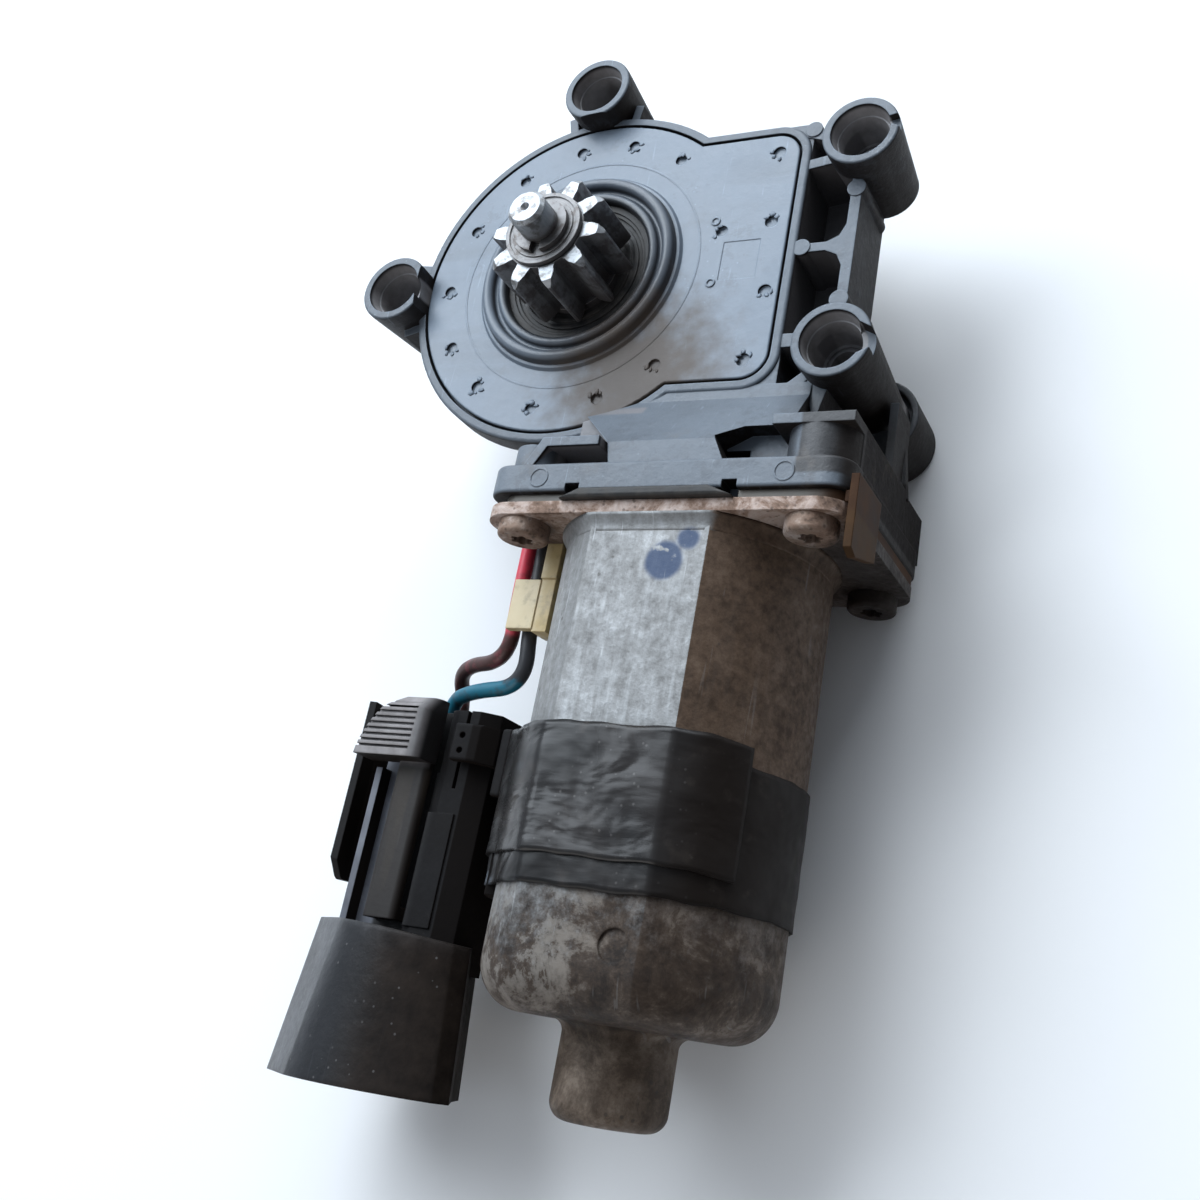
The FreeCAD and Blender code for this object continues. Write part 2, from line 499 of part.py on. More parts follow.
def windings():
    """Copper coils: bundles through the slots and the heads at both ends."""
    heads = []
    for y0, y1 in ((-73.0, -70.0), (-110.5, -107.0)):
        heads.append(ring(4.6, 13.0, y0, y1))
    bars = []
    for k in range(8):
        coil = box(AX + 6.6, AX + 12.8, -107.2, -72.8, AZ - 1.8, AZ + 1.8)
        coil.rotate(V(AX, 0, AZ), V(0, 1, 0), 45 * k + 22.5)
        bars.append(coil)
    body = join(heads + bars)
    return fillet_where(body, 1.0, lambda e: isinstance(e.Curve, Part.Circle)
                        and abs(e.Curve.Radius - 13.0) < 0.01
                        and (abs(e.CenterOfMass.y + 70.0) < 0.01 or abs(e.CenterOfMass.y + 110.5) < 0.01))


def brush_set():
    boxes, brushes, springs = [], [], []
    for sx in (-1, 1):
        x0, x1 = sorted((AX + sx * 8.6, AX + sx * 16.0))
        shell = box(x0, x1, -57.2, -51.6, AZ - 3.5, AZ + 3.5)
        boxes.append(shell.cut(box(x0 - 1, x1 + 1, -56.7, -52.1, AZ - 3.0, AZ + 3.0)))
        b0, b1 = sorted((AX + sx * 7.45, AX + sx * 13.0))
        brushes.append(box(b0, b1, -56.65, -52.15, AZ - 2.95, AZ + 2.95))
        helix = Part.makeHelix(0.95, 2.6, 1.6)
        helix.rotate(V(0, 0, 0), V(0, 1, 0), 90 * sx)
        helix.translate(V(AX + sx * 13.25, -54.4, AZ))
        first = helix.Edges[0]
        start = first.valueAt(first.FirstParameter)
        circle = Part.Wire(Part.makeCircle(0.22, start, first.tangentAt(first.FirstParameter)))
        springs.append(Part.Wire(helix).makePipeShell([circle], True, True))
    return boxes, brushes, springs


# ---- wiring, connector and tape ----------------------------------------------
BODY = [(-23.2, -20.0), (-23.2, -8.4), (-22.0, -8.4), (-22.0, -10.9), (-12.0, -10.9), (-12.0, -9.4),
        (-10.0, -8.6), (-6.0, -8.8), (-3.2, -11.0), (-3.2, -20.0)]
BODY_Y = (-116.0, -76.4)
RED = [(-1.1, -48.3, -5.0), (-1.3, -58.6, -5.2), (-1.5, -68.6, -6.5), (-14.5, -68.0, -12.0),
       (-15.5, -73.6, -17.6), (-15.5, -85.0, -17.6)]
BLUE = [(1.7, -48.3, -5.0), (1.8, -62.0, -5.2), (2.6, -72.6, -6.5), (-9.5, -72.9, -9.6),
        (-15.5, -74.2, -13.2), (-15.5, -84.0, -13.2)]
PIN_X, PIN_Z = -15.5, (-17.6, -13.2)
SLEEVE_Y = (-133.8, -110.6)
SLEEVE_WALL = 1.8
LATCH_Y = (-109.8, -75.4)


def sleeve_face(t, wall, y):
    """Section of the plug sleeve, t from 0 at its neck to 1 at its mouth, less the wall."""
    left, corner, right = -29.2 - 3.0 * t + wall, -21.0 - 3.4 * t + wall * 0.6, 0.8 + 2.0 * t - wall
    top, low = -wall, -23.0 + wall

    def at(x, z):
        return V(x, y, z)
    edges = [Part.makeLine(at(left + 3.0, low), at(left, -18.0)),
             Part.makeLine(at(left, -18.0), at(left, -11.5)),
             Part.makeLine(at(left, -11.5), at(corner, -6.0 + top)),
             Part.Arc(at(corner, -6.0 + top), at(-10.0, -3.5 + top), at(right - 1.4, -7.2 + top)).toShape(),
             Part.makeLine(at(right - 1.4, -7.2 + top), at(right, -9.6 + top)),
             Part.makeLine(at(right, -9.6 + top), at(right - 4.4, -17.0)),
             Part.makeLine(at(right - 4.4, -17.0), at(right - 7.0, low)),
             Part.makeLine(at(right - 7.0, low), at(left + 3.0, low))]
    return Part.Wire(edges)


def connector_sleeve():
    """Plug shroud that flares towards its mouth, with a slanted neck face."""
    mouth, neck = SLEEVE_Y
    shell = Part.makeLoft([sleeve_face(0, 0, neck), sleeve_face(1, 0, mouth)], True, True)
    room = Part.makeLoft([sleeve_face(0.1, SLEEVE_WALL, neck - 2.8),
                          sleeve_face(1.05, SLEEVE_WALL, mouth - 1.0)], True, True)
    slant = prism([(-22.0, neck + 1), (-22.0, neck), (-12.0, neck - 0.5), (4.0, neck - 2.0),
                   (4.0, neck + 1)], "z", -25.0, 0.0)
    return shell.cut([room, slant, prism(BODY, "y", -116.0, -109.0)])


def connector_body():
    core = prism(BODY, "y", *BODY_Y)
    panel = box(-11.4, -6.6, -110.4, -93.0, -9.5, -8.45)
    step = box(-20.5, -7.2, -120.0, -116.0, -19.2, -11.2)
    body = join([core, panel, step])
    gaps = [box(-26.0, -11.4, -86.6, -75.0, -10.9, -5.0), box(-8.2, -7.6, -89.0, -76.0, -9.6, -8.0)]
    for z in PIN_Z:
        gaps.append(bar(1.75, -90.0, -74.0, PIN_X, z))
        gaps.append(box(PIN_X - 0.4, PIN_X + 0.4, -121.0, -89.0, z - 1.4, z + 1.4))
    return body.cut(gaps)


def connector_latch():
    """Spring arm with the ribbed thumb pad; it hinges where it leaves the connector body."""
    root_y, tip = LATCH_Y
    arm = box(-18.4, -12.4, root_y, -80.0, -8.4, -7.0)
    arm = fillet_where(arm, 1.0, lambda e: abs(e.CenterOfMass.z + 7.0) < 0.01
                       and abs(e.tangentAt(0).y) > 0.99)
    root = box(-18.4, -12.4, root_y, root_y + 2.0, -10.7, -8.0)
    pad = prism([(tip, -8.4), (tip, -5.6), (tip - 2.2, -3.4), (-85.6, -3.1), (-85.6, -8.4)],
                "x", -24.6, -12.0)
    pad = fillet_where(pad, 1.3, lambda e: e.CenterOfMass.x > -12.1 and e.CenterOfMass.z > -5.7)
    curve = Part.Arc(V(-18.2, tip + 0.1, -12), V(-22.4, -79.6, -12), V(-24.4, -85.7, -12))
    side = Part.Wire([curve.toShape(),
                      Part.makeLine(V(-24.4, -85.7, -12), V(-26.0, -85.7, -12)),
                      Part.makeLine(V(-26.0, -85.7, -12), V(-26.0, tip + 0.1, -12)),
                      Part.makeLine(V(-26.0, tip + 0.1, -12), V(-18.2, tip + 0.1, -12))])
    cuts = [Part.Face(side).extrude(V(0, 0, 12))]
    for k in range(9):
        y = tip - 1.2 - k * 0.95
        cuts.append(box(-26.0, -14.2, y - 0.2, y + 0.2, -4.6 if k < 2 else -3.75, -1.0))
    return join([arm, root, pad]).cut(cuts)


def connector_bracket():
    """Clip that straps the connector to the can: saddle, back plate, curled side and two hooks."""
    wedge = prism([(AX, AZ), (AX - 40, AZ + 24), (AX - 40, AZ - 40)], "y", -105.4, -82.4)
    saddle = ring(CAN_R + 0.05, CAN_R + 1.4, -105.4, -82.4).common(wedge)
    back = box(-25.6, 3.0, -104.0, -76.0, -21.5, -20.2)
    curl = prism([(-24.8, -21.5), (-28.4, -18.8), (-29.4, -13.4), (-28.7, -9.4), (-27.5, -9.7),
                  (-28.1, -13.4), (-27.2, -18.2), (-24.2, -20.2)], "y", -104.4, -75.5)
    trim = prism([(-100.0, -8.0), (-104.0, -12.0), (-106.0, -16.0), (-106.0, -8.0)], "x", -31.0, -26.0)
    curl = curl.cut(trim)
    web = prism([(0.6, -21.5), (0.6, -15.0), (7.6, -14.0), (8.4, -18.0)], "y", -105.4, -84.0)
    hook_a = prism([(-3.1, -21.0), (-1.9, -21.0), (-1.9, -9.4), (-4.0, -6.8), (-5.2, -6.2), (-8.4, -5.9),
                    (-8.4, -7.8), (-5.4, -8.0), (-3.1, -10.2)], "y", -85.0, -79.0)
    hook_b = prism([(1.0, -20.0), (2.4, -20.0), (3.0, -9.0), (1.8, -6.8), (-0.4, -6.8), (1.0, -9.0)],
                   "y", -90.0, -79.4)
    rounded = [fillet_where(h, 0.5, lambda e: e.CenterOfMass.z > -8.0) for h in (hook_a, hook_b)]
    foot = box(-3.1, 2.4, -90.0, -79.0, -21.5, -18.0)
    dents = [rod(0.5, -6.6, y, -7.0, -5.0) for y in (-81.0, -83.4)]
    return join([saddle, back, curl, web, foot] + rounded).cut(
        [can_section(0.04, -80.0, -106.0).fuse(bar(CAN_R + 0.05, -106.0, -78.0)),
         prism(BODY, "y", -112.0, -70.0)] + dents)


def wrap(grow, y0, y1):
    """Outline of the can and the clip under the tape, grown by the tape already wound on."""
    low, high = min(y0, y1), max(y0, y1)
    side = prism([(AX, AZ + grow), (AX - 44, AZ + 26.6 + grow), (AX - 44, AZ - 44.2 - grow),
                  (AX, AZ - grow)], "y", low, high)
    return can_section(grow, low, high).fuse(bar(CAN_R + 1.45 + grow, low, high).common(side))


def tape(inner, outer, y0, y1):
    """One layer of tape, open where the connector clip's web leaves the can."""
    web_gap = prism([(-8.0, -26.0), (-8.0, -11.5), (8.0, -11.5), (11.0, -26.0)], "y", y0 - 1, y1 + 1)
    return wrap(outer, y0, y1).cut([wrap(inner, y0 - 1, y1 + 1), web_gap])


def tape_outer():
    away = prism([(AX, AZ), (AX + 34, AZ + 26), (AX + 40, AZ), (AX + 34, AZ - 34)], "y", -101, -81)
    return tape(0.75, 1.35, -100.0, -81.8).cut(away)


def build():
    os.makedirs("parts", exist_ok=True)
    save("gear_housing", gear_housing())
    save("cover_plate", cover_plate())
    save("hub_seal", hub_seal())
    save("cover_gasket", disc_ring(CUP_R - 1.7, CUP_R - 0.5, -3.1, -2.5).cut(
        box(14.0, 40.0, -30, 30, -5, 0)))
    save("output_axle", output_axle())
    save("axle_clip", disc_ring(AXLE_R - 0.4, 4.9, 13.3, 14.2).cut(box(-0.9, 0.9, -6, 0, 13, 15)))
    save("top_washer", disc_ring(AXLE_R + 0.02, 6.9, 12.45, 13.25).cut(
        disc_ring(5.6, 6.2, 13.0, 14.0)))
    save("floor_washer", disc_ring(AXLE_R + 0.02, 8.2, -14.95, -14.5))
    save("pinion", pinion())
    save("output_driver", driver())
    save("rubber_damper", damper())
    save("worm_wheel", worm_wheel())
    save("worm", worm())
    save("armature_shaft", bar(SHAFT_R, 21.0, -130.4).fuse(
        Part.makeSphere(SHAFT_R - 0.1, V(AX, 20.5, AZ))).removeSplitter())
    save("armature_core", armature_core())
    save("windings", windings())
    save("commutator", commutator())
    save("shaft_washers", Part.makeCompound([ring(SHAFT_R, 4.2, -70.0, -69.0),
                                             ring(SHAFT_R, 4.2, -122.6, -121.6)]))
    save("end_bearing", ring(SHAFT_R + FIT, 5.0, 14.7, 20.2))
    save("thrust_pad", bar(3.4, 23.0, 24.2))
    save("mid_bearing", ring(SHAFT_R + FIT, 5.95, -36.0, -30.0))
    save("bearing_clip", ring(4.0, 6.0, -37.4, -36.2).fuse(ring(6.0, 9.0, -37.4, -37.0)))
    save("nose_bearing", ring(SHAFT_R + FIT, NOSE_R - 1.45, -130.0, -123.0))
    save("flange_gasket", flange_gasket())
    save("flange_plate", flange_plate())
    save("pole_can", pole_can())
    save("flange_screws", Part.makeCompound([flange_screw(AX + sx * SCREW_DX, AZ + sz * SCREW_DZ)
                                             for sx in (-1, 1) for sz in (-1, 1)]))
    save("magnet_left", magnet(-1))
    save("magnet_right", magnet(1))
    springs = []
    for sz in (-1, 1):
        z = AZ + sz * 16.6
        springs.append(box(AX - 8.4, AX + 8.4, -108.0, -72.0, z - 0.3, z + 0.3))
    save("magnet_clips", Part.makeCompound(springs))
    save("brush_holder", brush_holder())
    boxes, brushes, coils = brush_set()
    save("brush_boxes", Part.makeCompound(boxes))
    save("brushes", Part.makeCompound(brushes))
    save("brush_springs", Part.makeCompound(coils))
    save("chokes", Part.makeCompound([bar(1.6, -50.4, -42.0, AX + sx * 8.0, AZ + 6.5)
                                      for sx in (-1, 1)]))
    save("thermal_breaker", box(AX - 4.0, AX + 4.0, -50.4, -43.0, AZ - 12.6, AZ - 9.8))
    save("terminals", Part.makeCompound([box(AX + sx * 8.0 - 1.5, AX + sx * 8.0 + 1.5, -49.5, -42.0,
                                             AZ + 8.15, AZ + 8.75) for sx in (-1, 1)]))
    clip = [box(-0.5, 4.2, -64.4, -56.2, -3.65, -2.2), box(3.5, 4.2, -64.4, -56.2, -8.2, -2.2),
            box(-0.5, 4.2, -60.0, -56.2, -8.2, -7.4)]
    save("wire_clip", join(clip))
    save("wire_red", route(RED, WIRE_R))
    save("wire_blue", route(BLUE, WIRE_R))
    save("wire_seals", Part.makeCompound([ring(WIRE_R, 1.75, -82.0, -78.5, PIN_X, z)
                                          for z in PIN_Z]))
    save("connector_body", connector_body())
    save("connector_sleeve", connector_sleeve())
    save("connector_pins", Part.makeCompound([box(PIN_X - 0.4, PIN_X + 0.4, -124.0, -92.0, z - 1.4, z + 1.4)
                                              for z in PIN_Z]))
    save("connector_latch", connector_latch())
    save("connector_bracket", connector_bracket())
    save("tape_inner", tape(0.06, 0.7, -104.2, -84.6))
    save("tape_outer", tape_outer())


build()
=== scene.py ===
import json
import math
import random

import bmesh
import bpy
from mathutils import Matrix, Vector, noise


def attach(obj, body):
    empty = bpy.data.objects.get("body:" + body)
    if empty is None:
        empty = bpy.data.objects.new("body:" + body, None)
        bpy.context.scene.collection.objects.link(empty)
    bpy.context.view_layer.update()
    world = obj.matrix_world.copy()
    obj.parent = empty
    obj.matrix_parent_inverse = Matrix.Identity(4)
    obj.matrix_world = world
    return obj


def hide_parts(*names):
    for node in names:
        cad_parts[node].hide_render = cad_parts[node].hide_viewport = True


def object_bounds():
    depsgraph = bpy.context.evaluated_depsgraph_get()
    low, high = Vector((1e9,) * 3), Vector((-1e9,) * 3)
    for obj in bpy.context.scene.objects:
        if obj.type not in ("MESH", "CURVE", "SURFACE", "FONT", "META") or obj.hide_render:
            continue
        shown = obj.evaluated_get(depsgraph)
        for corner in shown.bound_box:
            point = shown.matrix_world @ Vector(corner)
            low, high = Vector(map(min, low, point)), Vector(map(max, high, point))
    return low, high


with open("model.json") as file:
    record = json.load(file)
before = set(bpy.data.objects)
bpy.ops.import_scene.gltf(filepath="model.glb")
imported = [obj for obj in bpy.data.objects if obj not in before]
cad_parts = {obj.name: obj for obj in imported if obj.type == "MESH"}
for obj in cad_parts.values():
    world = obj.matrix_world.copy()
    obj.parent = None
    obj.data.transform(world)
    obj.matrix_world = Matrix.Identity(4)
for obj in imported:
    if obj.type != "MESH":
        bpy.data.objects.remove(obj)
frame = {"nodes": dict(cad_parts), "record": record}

CAD_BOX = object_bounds()
NODES = frame["nodes"]
MM = 0.001
X, Y, Z = 0, 1, 2

# As in the CAD, in mm: the motor's axis, the can's section and the middles of the four bosses.
MOTOR_X, MOTOR_Z = 28.0, -9.6
CAN_R, CAN_FLAT = 21.1, 18.8
BOSS_AT = ((-2.4, 37.0), (-36.0, -2.2), (49.7, 19.4), (49.7, -19.4))

# Middle of the object in plan, in metres.
MIDDLE = (0.02, -0.05)


# ---- materials ---------------------------------------------------------------
# painted shade: the dull brown laid on faces turned away from the lamps
SHADE_BROWN = (0.016, 0.012, 0.010)
ZONE_SOFT = 0.3  # half width in mm of a zone's border
BEVEL_SAMPLES = 6
MIX_FIRST, MIX_SECOND, MIX_RESULT = 6, 7, 2  # colour sockets of the Mix node


def rgba(value):
    """A plain colour with its alpha; a socket as it is."""
    return (*value, 1) if isinstance(value, tuple) else value


class Mat:
    """A node material built from short calls. A mask is a value from 0 to 1; lengths are in mm."""

    def __init__(self, name):
        self.material = bpy.data.materials.new(name)
        self.material.use_nodes = True
        self.tree = self.material.node_tree
        self.tree.nodes.clear()
        out = self.tree.nodes.new("ShaderNodeOutputMaterial")
        self.shader = self.tree.nodes.new("ShaderNodeBsdfPrincipled")
        self.tree.links.new(self.shader.outputs[0], out.inputs[0])
        self.place = self.tree.nodes.new("ShaderNodeTexCoord").outputs["Object"]

    def node(self, kind, **settings):
        n = self.tree.nodes.new("ShaderNode" + kind)
        for key, value in settings.items():
            setattr(n, key, value)
        return n

    def feed(self, socket, value):
        if isinstance(value, bpy.types.NodeSocket):
            self.tree.links.new(value, socket)
        else:
            socket.default_value = value

    # -- arithmetic on masks
    def math(self, operation, a, b, clamp=False):
        n = self.node("Math", operation=operation, use_clamp=clamp)
        self.feed(n.inputs[0], a)
        self.feed(n.inputs[1], b)
        return n.outputs[0]

    def times(self, first, *others):
        for other in others:
            first = self.math("MULTIPLY", first, other)
        return first

    def either(self, first, *others):
        for other in others:
            first = self.math("MAXIMUM", first, other)
        return first

    def more(self, start, mask, amount):
        return self.math("ADD", start, self.times(mask, amount))

    def less(self, start, mask, amount):
        return self.math("SUBTRACT", start, self.times(mask, amount))

    def weigh(self, a, part_a, b, part_b):
        return self.math("ADD", self.times(a, part_a), self.times(b, part_b))

    def step(self, value, lo, hi):
        """0 at lo and 1 at hi, with soft ends; hi may be the lower one."""
        n = self.node("MapRange")
        n.interpolation_type = "SMOOTHSTEP"
        self.feed(n.inputs["Value"], value)
        n.inputs["From Min"].default_value = lo
        n.inputs["From Max"].default_value = hi
        return n.outputs[0]

    # -- coordinates and patterns
    def scaled(self, x, y, z, turn=0):
        n = self.node("Mapping")
        self.feed(n.inputs["Vector"], self.place)
        n.inputs["Rotation"].default_value = (0, 0, math.radians(turn))
        n.inputs["Scale"].default_value = (x, y, z)
        return n.outputs[0]

    def noise(self, scale, detail, rough=0.55, at=None, distort=0.0):
        n = self.node("TexNoise")
        self.feed(n.inputs["Vector"], at or self.place)
        n.inputs["Scale"].default_value = scale
        n.inputs["Detail"].default_value = detail
        n.inputs["Roughness"].default_value = rough
        n.inputs["Distortion"].default_value = distort
        return n.outputs[0]

    def blotch(self, scale, detail, lo, hi):
        """Irregular soft spots: 1 where the noise passes hi."""
        return self.step(self.noise(scale, detail), lo, hi)

    def cells(self, scale):
        n = self.node("TexVoronoi")
        self.feed(n.inputs["Vector"], self.place)
        n.inputs["Scale"].default_value = scale
        return n.outputs[0]

    def dots(self, scale, foot, core):
        """Round grains: 0 at the radius of their foot and 1 at that of their core, in cells."""
        return self.step(self.cells(scale), foot, core)

    # -- masks by place and direction
    def axis(self, k):
        n = self.node("SeparateXYZ")
        self.feed(n.inputs[0], self.place)
        return n.outputs[k]

    def along(self, k, lo, hi):
        """0 at lo and 1 at hi along axis k."""
        return self.step(self.axis(k), lo * MM, hi * MM)

    def zone(self, *spans):
        """1 inside a box given as (low, high) pairs for x, y and z."""
        sides = []
        for k, (lo, hi) in enumerate(spans):
            sides.append(self.along(k, lo - ZONE_SOFT, lo + ZONE_SOFT))
            sides.append(self.along(k, hi + ZONE_SOFT, hi - ZONE_SOFT))
        return self.times(*sides)

    def within(self, outer, inner):
        """0 at outer and 1 at inner, measured from the output axis."""
        n = self.node("VectorMath", operation="LENGTH")
        self.feed(n.inputs[0], self.scaled(1, 1, 0))
        return self.step(n.outputs["Value"], outer * MM, inner * MM)

    def near(self, x, y, radius, soft, z=None):
        """1 inside a patch with a wobbly edge, round in plan, or a ball where z is given."""
        n = self.node("VectorMath", operation="DISTANCE")
        if z is None:
            self.feed(n.inputs[0], self.scaled(1, 1, 0))
            n.inputs[1].default_value = (x * MM, y * MM, 0)
        else:
            self.feed(n.inputs[0], self.place)
            n.inputs[1].default_value = (x * MM, y * MM, z * MM)
        wobble = self.math("SUBTRACT", self.noise(260, 3), 0.5)
        reach = self.more(n.outputs["Value"], wobble, soft * 2 * MM)
        return self.step(reach, (radius + soft) * MM, (radius - soft) * MM)

    def facing(self, k):
        """Component k of the surface normal, -1 to 1."""
        g = self.node("NewGeometry")
        n = self.node("SeparateXYZ")
        self.feed(n.inputs[0], g.outputs["Normal"])
        return n.outputs[k]

    def faces(self, k, lo, hi):
        """0 at lo and 1 at hi of the surface normal's component k."""
        return self.step(self.facing(k), lo, hi)

    def rounded(self, radius):
        """Normal with softened edges."""
        n = self.node("Bevel", samples=BEVEL_SAMPLES)
        n.inputs["Radius"].default_value = radius * MM
        return n.outputs[0]

    def edges(self, radius, lo=0.02, hi=0.16):
        """1 along sharp edges, 0 on open faces."""
        g = self.node("NewGeometry")
        n = self.node("VectorMath", operation="DOT_PRODUCT")
        self.feed(n.inputs[0], self.rounded(radius))
        self.feed(n.inputs[1], g.outputs["Normal"])
        return self.step(self.math("SUBTRACT", 1.0, n.outputs["Value"]), lo, hi)

    # -- colours and the result
    def ramp(self, value, stops):
        """stops are (place, value or colour) pairs."""
        n = self.node("ValToRGB")
        self.feed(n.inputs[0], value)
        elements = n.color_ramp.elements
        while len(elements) < len(stops):
            elements.new(0.5)
        for element, (place, tone) in zip(elements, stops):
            element.position = place
            element.color = rgba(tone) if isinstance(tone, tuple) else (tone, tone, tone, 1)
        return n.outputs[0]

    def mix(self, mask, first, second):
        n = self.node("Mix", data_type="RGBA")
        self.feed(n.inputs[0], mask)
        self.feed(n.inputs[MIX_FIRST], rgba(first))
        self.feed(n.inputs[MIX_SECOND], rgba(second))
        return n.outputs[MIX_RESULT]

    def layer(self, color, mask, amount, over):
        """The colour with some of another one laid over it."""
        return self.mix(self.times(mask, amount), color, over)

    def bump(self, height, strength, depth, under=None):
        """Normal from a height pattern."""
        n = self.node("Bump")
        n.inputs["Strength"].default_value = strength
        n.inputs["Distance"].default_value = depth * MM
        self.feed(n.inputs["Height"], height)
        if under is not None:
            self.feed(n.inputs["Normal"], under)
        return n.outputs[0]

    def done(self, color, rough, normal=None, metal=0.0, spec=0.5):
        self.feed(self.shader.inputs["Base Color"], rgba(color))
        self.feed(self.shader.inputs["Roughness"], rough)
        self.feed(self.shader.inputs["Metallic"], metal)
        self.feed(self.shader.inputs["Specular IOR Level"], spec)
        if normal is not None:
            self.feed(self.shader.inputs["Normal"], normal)
        return self.material


def scratches(m, seed=0.0, amount=0.70):
    """Sparse fine scratches, each bunch with its own direction."""
    bunches = []
    for k, angle in enumerate((17, 71, 128, 160)):
        line = m.noise(1.0, 1, 0.4, m.scaled(1700, 55, 160 + 60 * k, angle + seed), 0.6)
        patch = m.noise(80 + 17 * k + seed, 2, 0.5)
        bunches.append(m.times(m.step(line, amount, amount + 0.05), m.step(patch, 0.56, 0.66)))
    return m.either(*bunches)


def specks(m, scale):
    """Small dust grains that gather in patches."""
    return m.times(m.dots(scale, 0.16, 0.064), m.blotch(60, 3, 0.5, 0.62))


def plastic(name, base, dust, rough, scuff, film=0.75, dust_at=0.5, grain=0.18, edge=0.5, soften=0.3):
    """Moulded black plastic: grain, dust on what faces up, painted shade in dull brown on what faces
    right and down.

    Gives the material with its colour, roughness, normal and specular level, to be finished.
    """
    m = Mat(name)
    cloud = m.noise(38, 6, 0.62, distort=0.3)
    fine = m.noise(950, 3, 0.6)
    color = m.mix(m.blotch(120, 5, 0.35, 0.7), base, tuple(c * 1.5 for c in base))
    # painted shade: what faces right, to the front and down is browned, and the light marks below are
    # dimmed there
    shade = m.either(m.faces(X, 0.0, 0.8), m.faces(Y, -0.3, -0.95), m.faces(Z, -0.3, -0.9))
    color = m.layer(color, shade, m.more(0.55, m.step(cloud, 0.35, 0.65), 0.4), SHADE_BROWN)
    dusty = m.more(0.55, m.step(cloud, dust_at - 0.16, dust_at + 0.22), 0.45)
    dusty = m.times(dusty, m.faces(Z, 0.15, 0.9))
    color = m.layer(color, dusty, film, dust)
    light = tuple(c * 1.7 for c in dust)
    lit = m.less(1.0, shade, 0.7)
    # edges lightened: partly wear, partly a painted highlight along them
    worn_highlit_edges = m.times(m.edges(0.35), edge, m.blotch(140, 3, 0.34, 0.6))
    for mask in (m.times(scratches(m), scuff), worn_highlit_edges, m.times(specks(m, 700), 0.4)):
        color = m.layer(color, mask, lit, light)
    rough_map = m.ramp(m.weigh(cloud, 0.6, fine, 0.4), [(0.3, rough - 0.1), (0.7, rough + 0.12)])
    normal = m.bump(fine, grain, 0.2, m.rounded(soften))
    normal = m.bump(m.noise(150, 4), 0.10, 0.6, normal)
    return m, color, m.more(rough_map, shade, 0.12), normal, m.less(0.5, shade, 0.38)


def housing_material():
    """Dusty on top; painted shade, near black, on the right and lower down; painted light, pale, in the
    bosses' wells, the pockets and the lattice.
    """
    black = (0.024, 0.026, 0.031)
    dust = (0.135, 0.160, 0.190)
    m, color, rough, normal, spec = plastic("housing_plastic", black, dust, 0.44, 0.5, film=0.9,
                                            dust_at=0.40, grain=0.2, edge=0.85)
    crinkle = m.noise(330, 7, 0.72)
    normal = m.bump(crinkle, 0.34, 0.6, normal)
    wiped = m.times(m.step(crinkle, 0.50, 0.60), m.blotch(60, 4, 0.44, 0.60))
    color = m.layer(color, wiped, 0.4, (0.060, 0.068, 0.080))

    wall = m.faces(Z, 0.9, 0.4)
    # painted shade: darker lower down, less so on the walls
    low = m.times(m.along(Z, -3, -12), m.less(1.0, wall, 0.4))
    color = m.layer(color, low, 0.75, (0.022, 0.019, 0.018))
    # painted shade on the walls of the right side
    right = m.times(m.along(X, 46, 56), wall)
    color = m.layer(color, right, 0.7, SHADE_BROWN)
    # painted shade on the right side of the neck block
    flank = m.times(m.along(X, 40, 52), m.along(Y, -22, -30), m.along(Z, 9.6, 8.5))
    color = m.layer(color, flank, 0.8, (0.020, 0.017, 0.016))

    # painted light: the bosses' wells, the pockets and the lattice get a pale colour where light reaches
    # into them
    wells = m.either(*[m.near(x, y, 5.15, 0.15) for x, y in BOSS_AT])
    wells = m.times(wells, m.along(Z, 3.9, 3.2))
    pale = m.ramp(m.noise(130, 5), [(0.35, (0.16, 0.15, 0.148)), (0.65, (0.33, 0.32, 0.325))])
    color = m.layer(color, wells, 0.85, pale)
    walls_and_floor = m.either(m.faces(Z, 0.5, 0.2), m.along(Z, 2.4, 1.9))
    pocket = m.times(m.zone((4.5, 19.0), (-42.6, -26.5), (1.0, 8.6)), walls_and_floor)
    color = m.layer(color, pocket, 0.8, (0.20, 0.19, 0.195))
    lattice = m.zone((38.6, 47.9), (-18.0, 23.0), (-12.6, -0.6))
    color = m.layer(color, lattice, 0.8, (0.10, 0.095, 0.098))

    # painted shade: the block on the right, the pocket's left-facing wall and the rear block are
    # darkened, and the rear gets less specular
    block = m.zone((49.5, 58.0), (-44.5, -34.0), (4.4, 11.0))
    color = m.layer(color, block, 0.85, (0.018, 0.014, 0.012))
    facet = m.times(m.zone((7.0, 20.0), (-38.0, -24.0), (0.2, 9.0)), m.faces(X, -0.25, -0.6))
    color = m.layer(color, facet, 0.75, (0.026, 0.021, 0.018))
    rear = m.zone((48.5, 60.0), (-45.0, -33.6), (-31.0, 4.3))
    color = m.layer(color, rear, 0.85, (0.013, 0.010, 0.009))
    clay = m.times(m.step(m.noise(90, 5, 0.7), 0.56, 0.68), m.along(Y, -30, -40))
    color = m.layer(color, clay, 0.3, (0.12, 0.098, 0.080))
    return m.done(color, rough, normal, spec=m.times(spec, m.less(1.0, rear, 0.7)))


